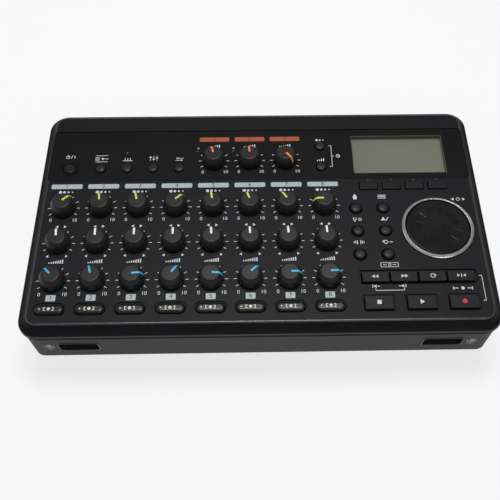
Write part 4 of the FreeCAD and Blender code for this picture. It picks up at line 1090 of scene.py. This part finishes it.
def makeMicSign(side):
    # a small microphone on its stand, on the front wall beyond each slot
    parts = strokes(0, (-1.7, 0.9, 0.4, 2.8), (1.7, 0.9, 0.4, 2.8), (0, -0.75, 3.8, 0.5),
                    (0, -1.75, 0.45, 1.5), (0, -2.75, 2.9, 0.5))
    sign = joined("micSign", [film(0, 1.6, 0, 1.9, 3.8, 0.9)] + parts)
    sign.scale = (1.35, 1.35, 1)
    settle(sign)
    return onFrontWall(sign, side * 114.9, 20.8)


def makePrints():
    white, pale, dark = makePanelPrint()
    stripWhite, orange, stripDark = makeStripPrint()
    white += stripWhite + makeKeyPrint()
    dark += stripDark
    lamps = [filmDisc(x, y, stripZ, 0.62, 20) for x, y in ((-78.8, 42.4), (-36.7, 43.2), (-15.5, 43.2))]
    lamps += [film(x, 20.6, panelZ, 0.4, 1.4) for x, _ in fkeyPlaces]
    signs = [makeMicSign(side) for side in (-1, 1)]
    marks = (("printWhite", white, "printWhite"), ("trackBadges", pale, "badgePale"),
             ("signalLamps", lamps, "lampGrey"), ("micSigns", signs, "printFaint"),
             ("inputBadges", orange, "badgeOrange"), ("badgeNumbers", dark, "printDark"))
    for name, pieces, finish in marks:
        dress(joined(name, pieces), "casing", "panel_black", finish)


makePrints()
print("panel marks made")


def makeKeySigns():
    # transport signs in cream and red, and a small sign on every track's button
    top = panelZ + keyRise["tray"]
    y = trayPlaces[0][1]
    signs = [(name, [filmDisc(x + shift, y, top, 1.15, 3, turn) for shift in (-1, 0.9)], node)
             for name, node, x, turn in (("rewindSign", "rewind_button", 61.9, 90),
                                         ("forwardSign", "forward_button", 77.4, -90))]
    ring = [(0.95, top), (1.35, top), (1.35, top + 0.035), (0.95, top + 0.035)]
    signs.append(("repeatSign", [latheRing("repeatSign", 92.9, y, ring, 24),
                                 filmDisc(94.1, y + 0.1, top + 0.01, 0.85, 3, 180)], "repeat_button"))
    signs.append(("inOutSign", [filmDisc(106.6, y, top, 1, 3, -90), film(108.4, y, top, 0.4, 2.2),
                                filmDisc(110.2, y, top, 1, 3, 90)], "in_out_button"))
    for name, pieces, node in signs:
        dress(joined(name, pieces), node, "key_grey", "printCream")
    top = panelZ + keyRise["transport"]
    y = transportPlaces[0][1]
    dress(film(62.45, y, top, 2.3, 2.3), "stop_button", "key_grey", "printCream")
    dress(filmDisc(85, y, top, 1.6, 3, -90), "play_button", "key_grey", "printCream")
    dress(filmDisc(107.85, y, top, 1.35, 32), "record_button", "key_grey", "printRed")
    top = panelZ + keyRise["pill"]
    pieces = []
    for x, y in pillPlaces:
        # record dot between square brackets, and a small lamp to its left
        pieces += [filmDisc(x, y, top, 0.9, 20), filmDisc(x - 4.9, y, top, 0.42, 12)]
        for side in (-1, 1):
            pieces += strokes(top, (x + side * 2.5, y, 0.45, 2), (x + side * 1.975, y - 0.8, 0.6, 0.4),
                              (x + side * 1.975, y + 0.8, 0.6, 0.4))
    dress(joined("trackSigns", pieces), "rec_buttons", "pill_smoke", "printCream")


makeKeySigns()
print("key signs made")


# Nodes of the frame whose shape is right get their finish here

nodeFinishes = {"display_window": "clearWindow", "display_module": "displayGrey",
                "control_board": "boardGreen", "main_board": "boardGreen", "rotary_controls": "plainMetal",
                "tact_switches": "socketBlack", "ribbon_cable": "ribbonGrey", "mic_capsules": "micFelt",
                "card_and_usb_sockets": "plainMetal", "battery_contacts": "plainMetal"}
for node, finish in nodeFinishes.items():
    mesh = frame["nodes"][node].data
    mesh.materials.clear()
    mesh.materials.append(finishes[finish])
print("frame nodes finished")


# Floor, lights and camera

viewSizes = {"place": (-2.429, -250.566, 419.857), "turn": (33.6562, -0.4536, -1.1026), "lens": 56.942,
             "shift": (-0.03853, -0.07647), "lampTarget": (0, 0, 0.03)}
# place and size of each lamp in metres, and its power in watts
lampSizes = {"topLamp": ((0.02, 0.2, 1.2), (0.5, 0.4), 9.6),
             "sideLamp": ((-1.1, 0.1, 0.5), (0.9, 0.9), 1.3),
             "frontLamp": ((0.3, -0.75, 0.8), (0.7, 0.25), 1)}


def startTree(material, *kinds):
    material.use_nodes = True
    return material.node_tree, [nodeFor(material.node_tree, kind) for kind in kinds]


def makeFloor():
    floor = added("floor", bpy.ops.mesh.primitive_plane_add, size=8, location=(0, 0, -0.0004))
    material = bpy.data.materials.new("paleFloor")
    tree, (path, mix) = startTree(material, "LightPath", "MixShader")
    shader = tree.nodes["Principled BSDF"]
    shader.inputs["Base Color"].default_value = (0.86, 0.86, 0.86, 1)
    shader.inputs["Roughness"].default_value = 0.8
    glow = nodeFor(tree, "Emission", Color=(1, 1, 1, 1), Strength=1)
    # camera, glossy and transmission rays see the floor three quarters white
    seen = nodeFor(tree, "Math", operation="ADD", use_clamp=True)
    passed = nodeFor(tree, "Math", operation="ADD", use_clamp=True)
    soften = nodeFor(tree, "Math", operation="MULTIPLY")
    soften.inputs[1].default_value = 0.75
    link(tree, path, "Is Camera Ray", seen, 0)
    link(tree, path, "Is Glossy Ray", seen, 1)
    link(tree, seen, 0, passed, 0)
    link(tree, path, "Is Transmission Ray", passed, 1)
    link(tree, passed, 0, soften, 0)
    link(tree, soften, 0, mix, "Fac")
    link(tree, shader, "BSDF", mix, 1)
    link(tree, glow, "Emission", mix, 2)
    link(tree, mix, "Shader", tree.nodes["Material Output"], "Surface")
    floor.data.materials.append(material)


def makeWorld():
    world = bpy.data.worlds.new("studio")
    bpy.context.scene.world = world
    tree, (white, path, mix) = startTree(world, "Background", "LightPath", "MixShader")
    base = tree.nodes["Background"]
    base.inputs["Color"].default_value = (0.92, 0.95, 1, 1)
    base.inputs["Strength"].default_value = 0.24
    white.inputs["Color"].default_value = (1, 1, 1, 1)
    link(tree, path, "Is Camera Ray", mix, "Fac")
    link(tree, base, "Background", mix, 1)
    link(tree, white, "Background", mix, 2)
    link(tree, mix, "Shader", tree.nodes["World Output"], "Surface")


def makeLamp(name, place, size, power):
    lamp = added(name, bpy.ops.object.light_add, type="AREA", location=place)
    lamp.data.shape = "RECTANGLE"
    lamp.data.size, lamp.data.size_y = size
    lamp.data.energy = power
    aim = Vector(viewSizes["lampTarget"]) - Vector(place)
    lamp.rotation_euler = aim.to_track_quat("-Z", "Y").to_euler()


def makeView():
    s = viewSizes
    camera = added("camera", bpy.ops.object.camera_add, location=[part * mm for part in s["place"]],
                   rotation=Euler([math.radians(part) for part in s["turn"]]))
    camera.data.lens = s["lens"]
    camera.data.shift_x, camera.data.shift_y = s["shift"]
    camera.data.clip_start = 0.01
    bpy.context.scene.camera = camera


makeFloor()
makeWorld()
for name, lamp in lampSizes.items():
    makeLamp(name, *lamp)
makeView()
bpy.context.scene.view_settings.view_transform = "Standard"
print("stage made")
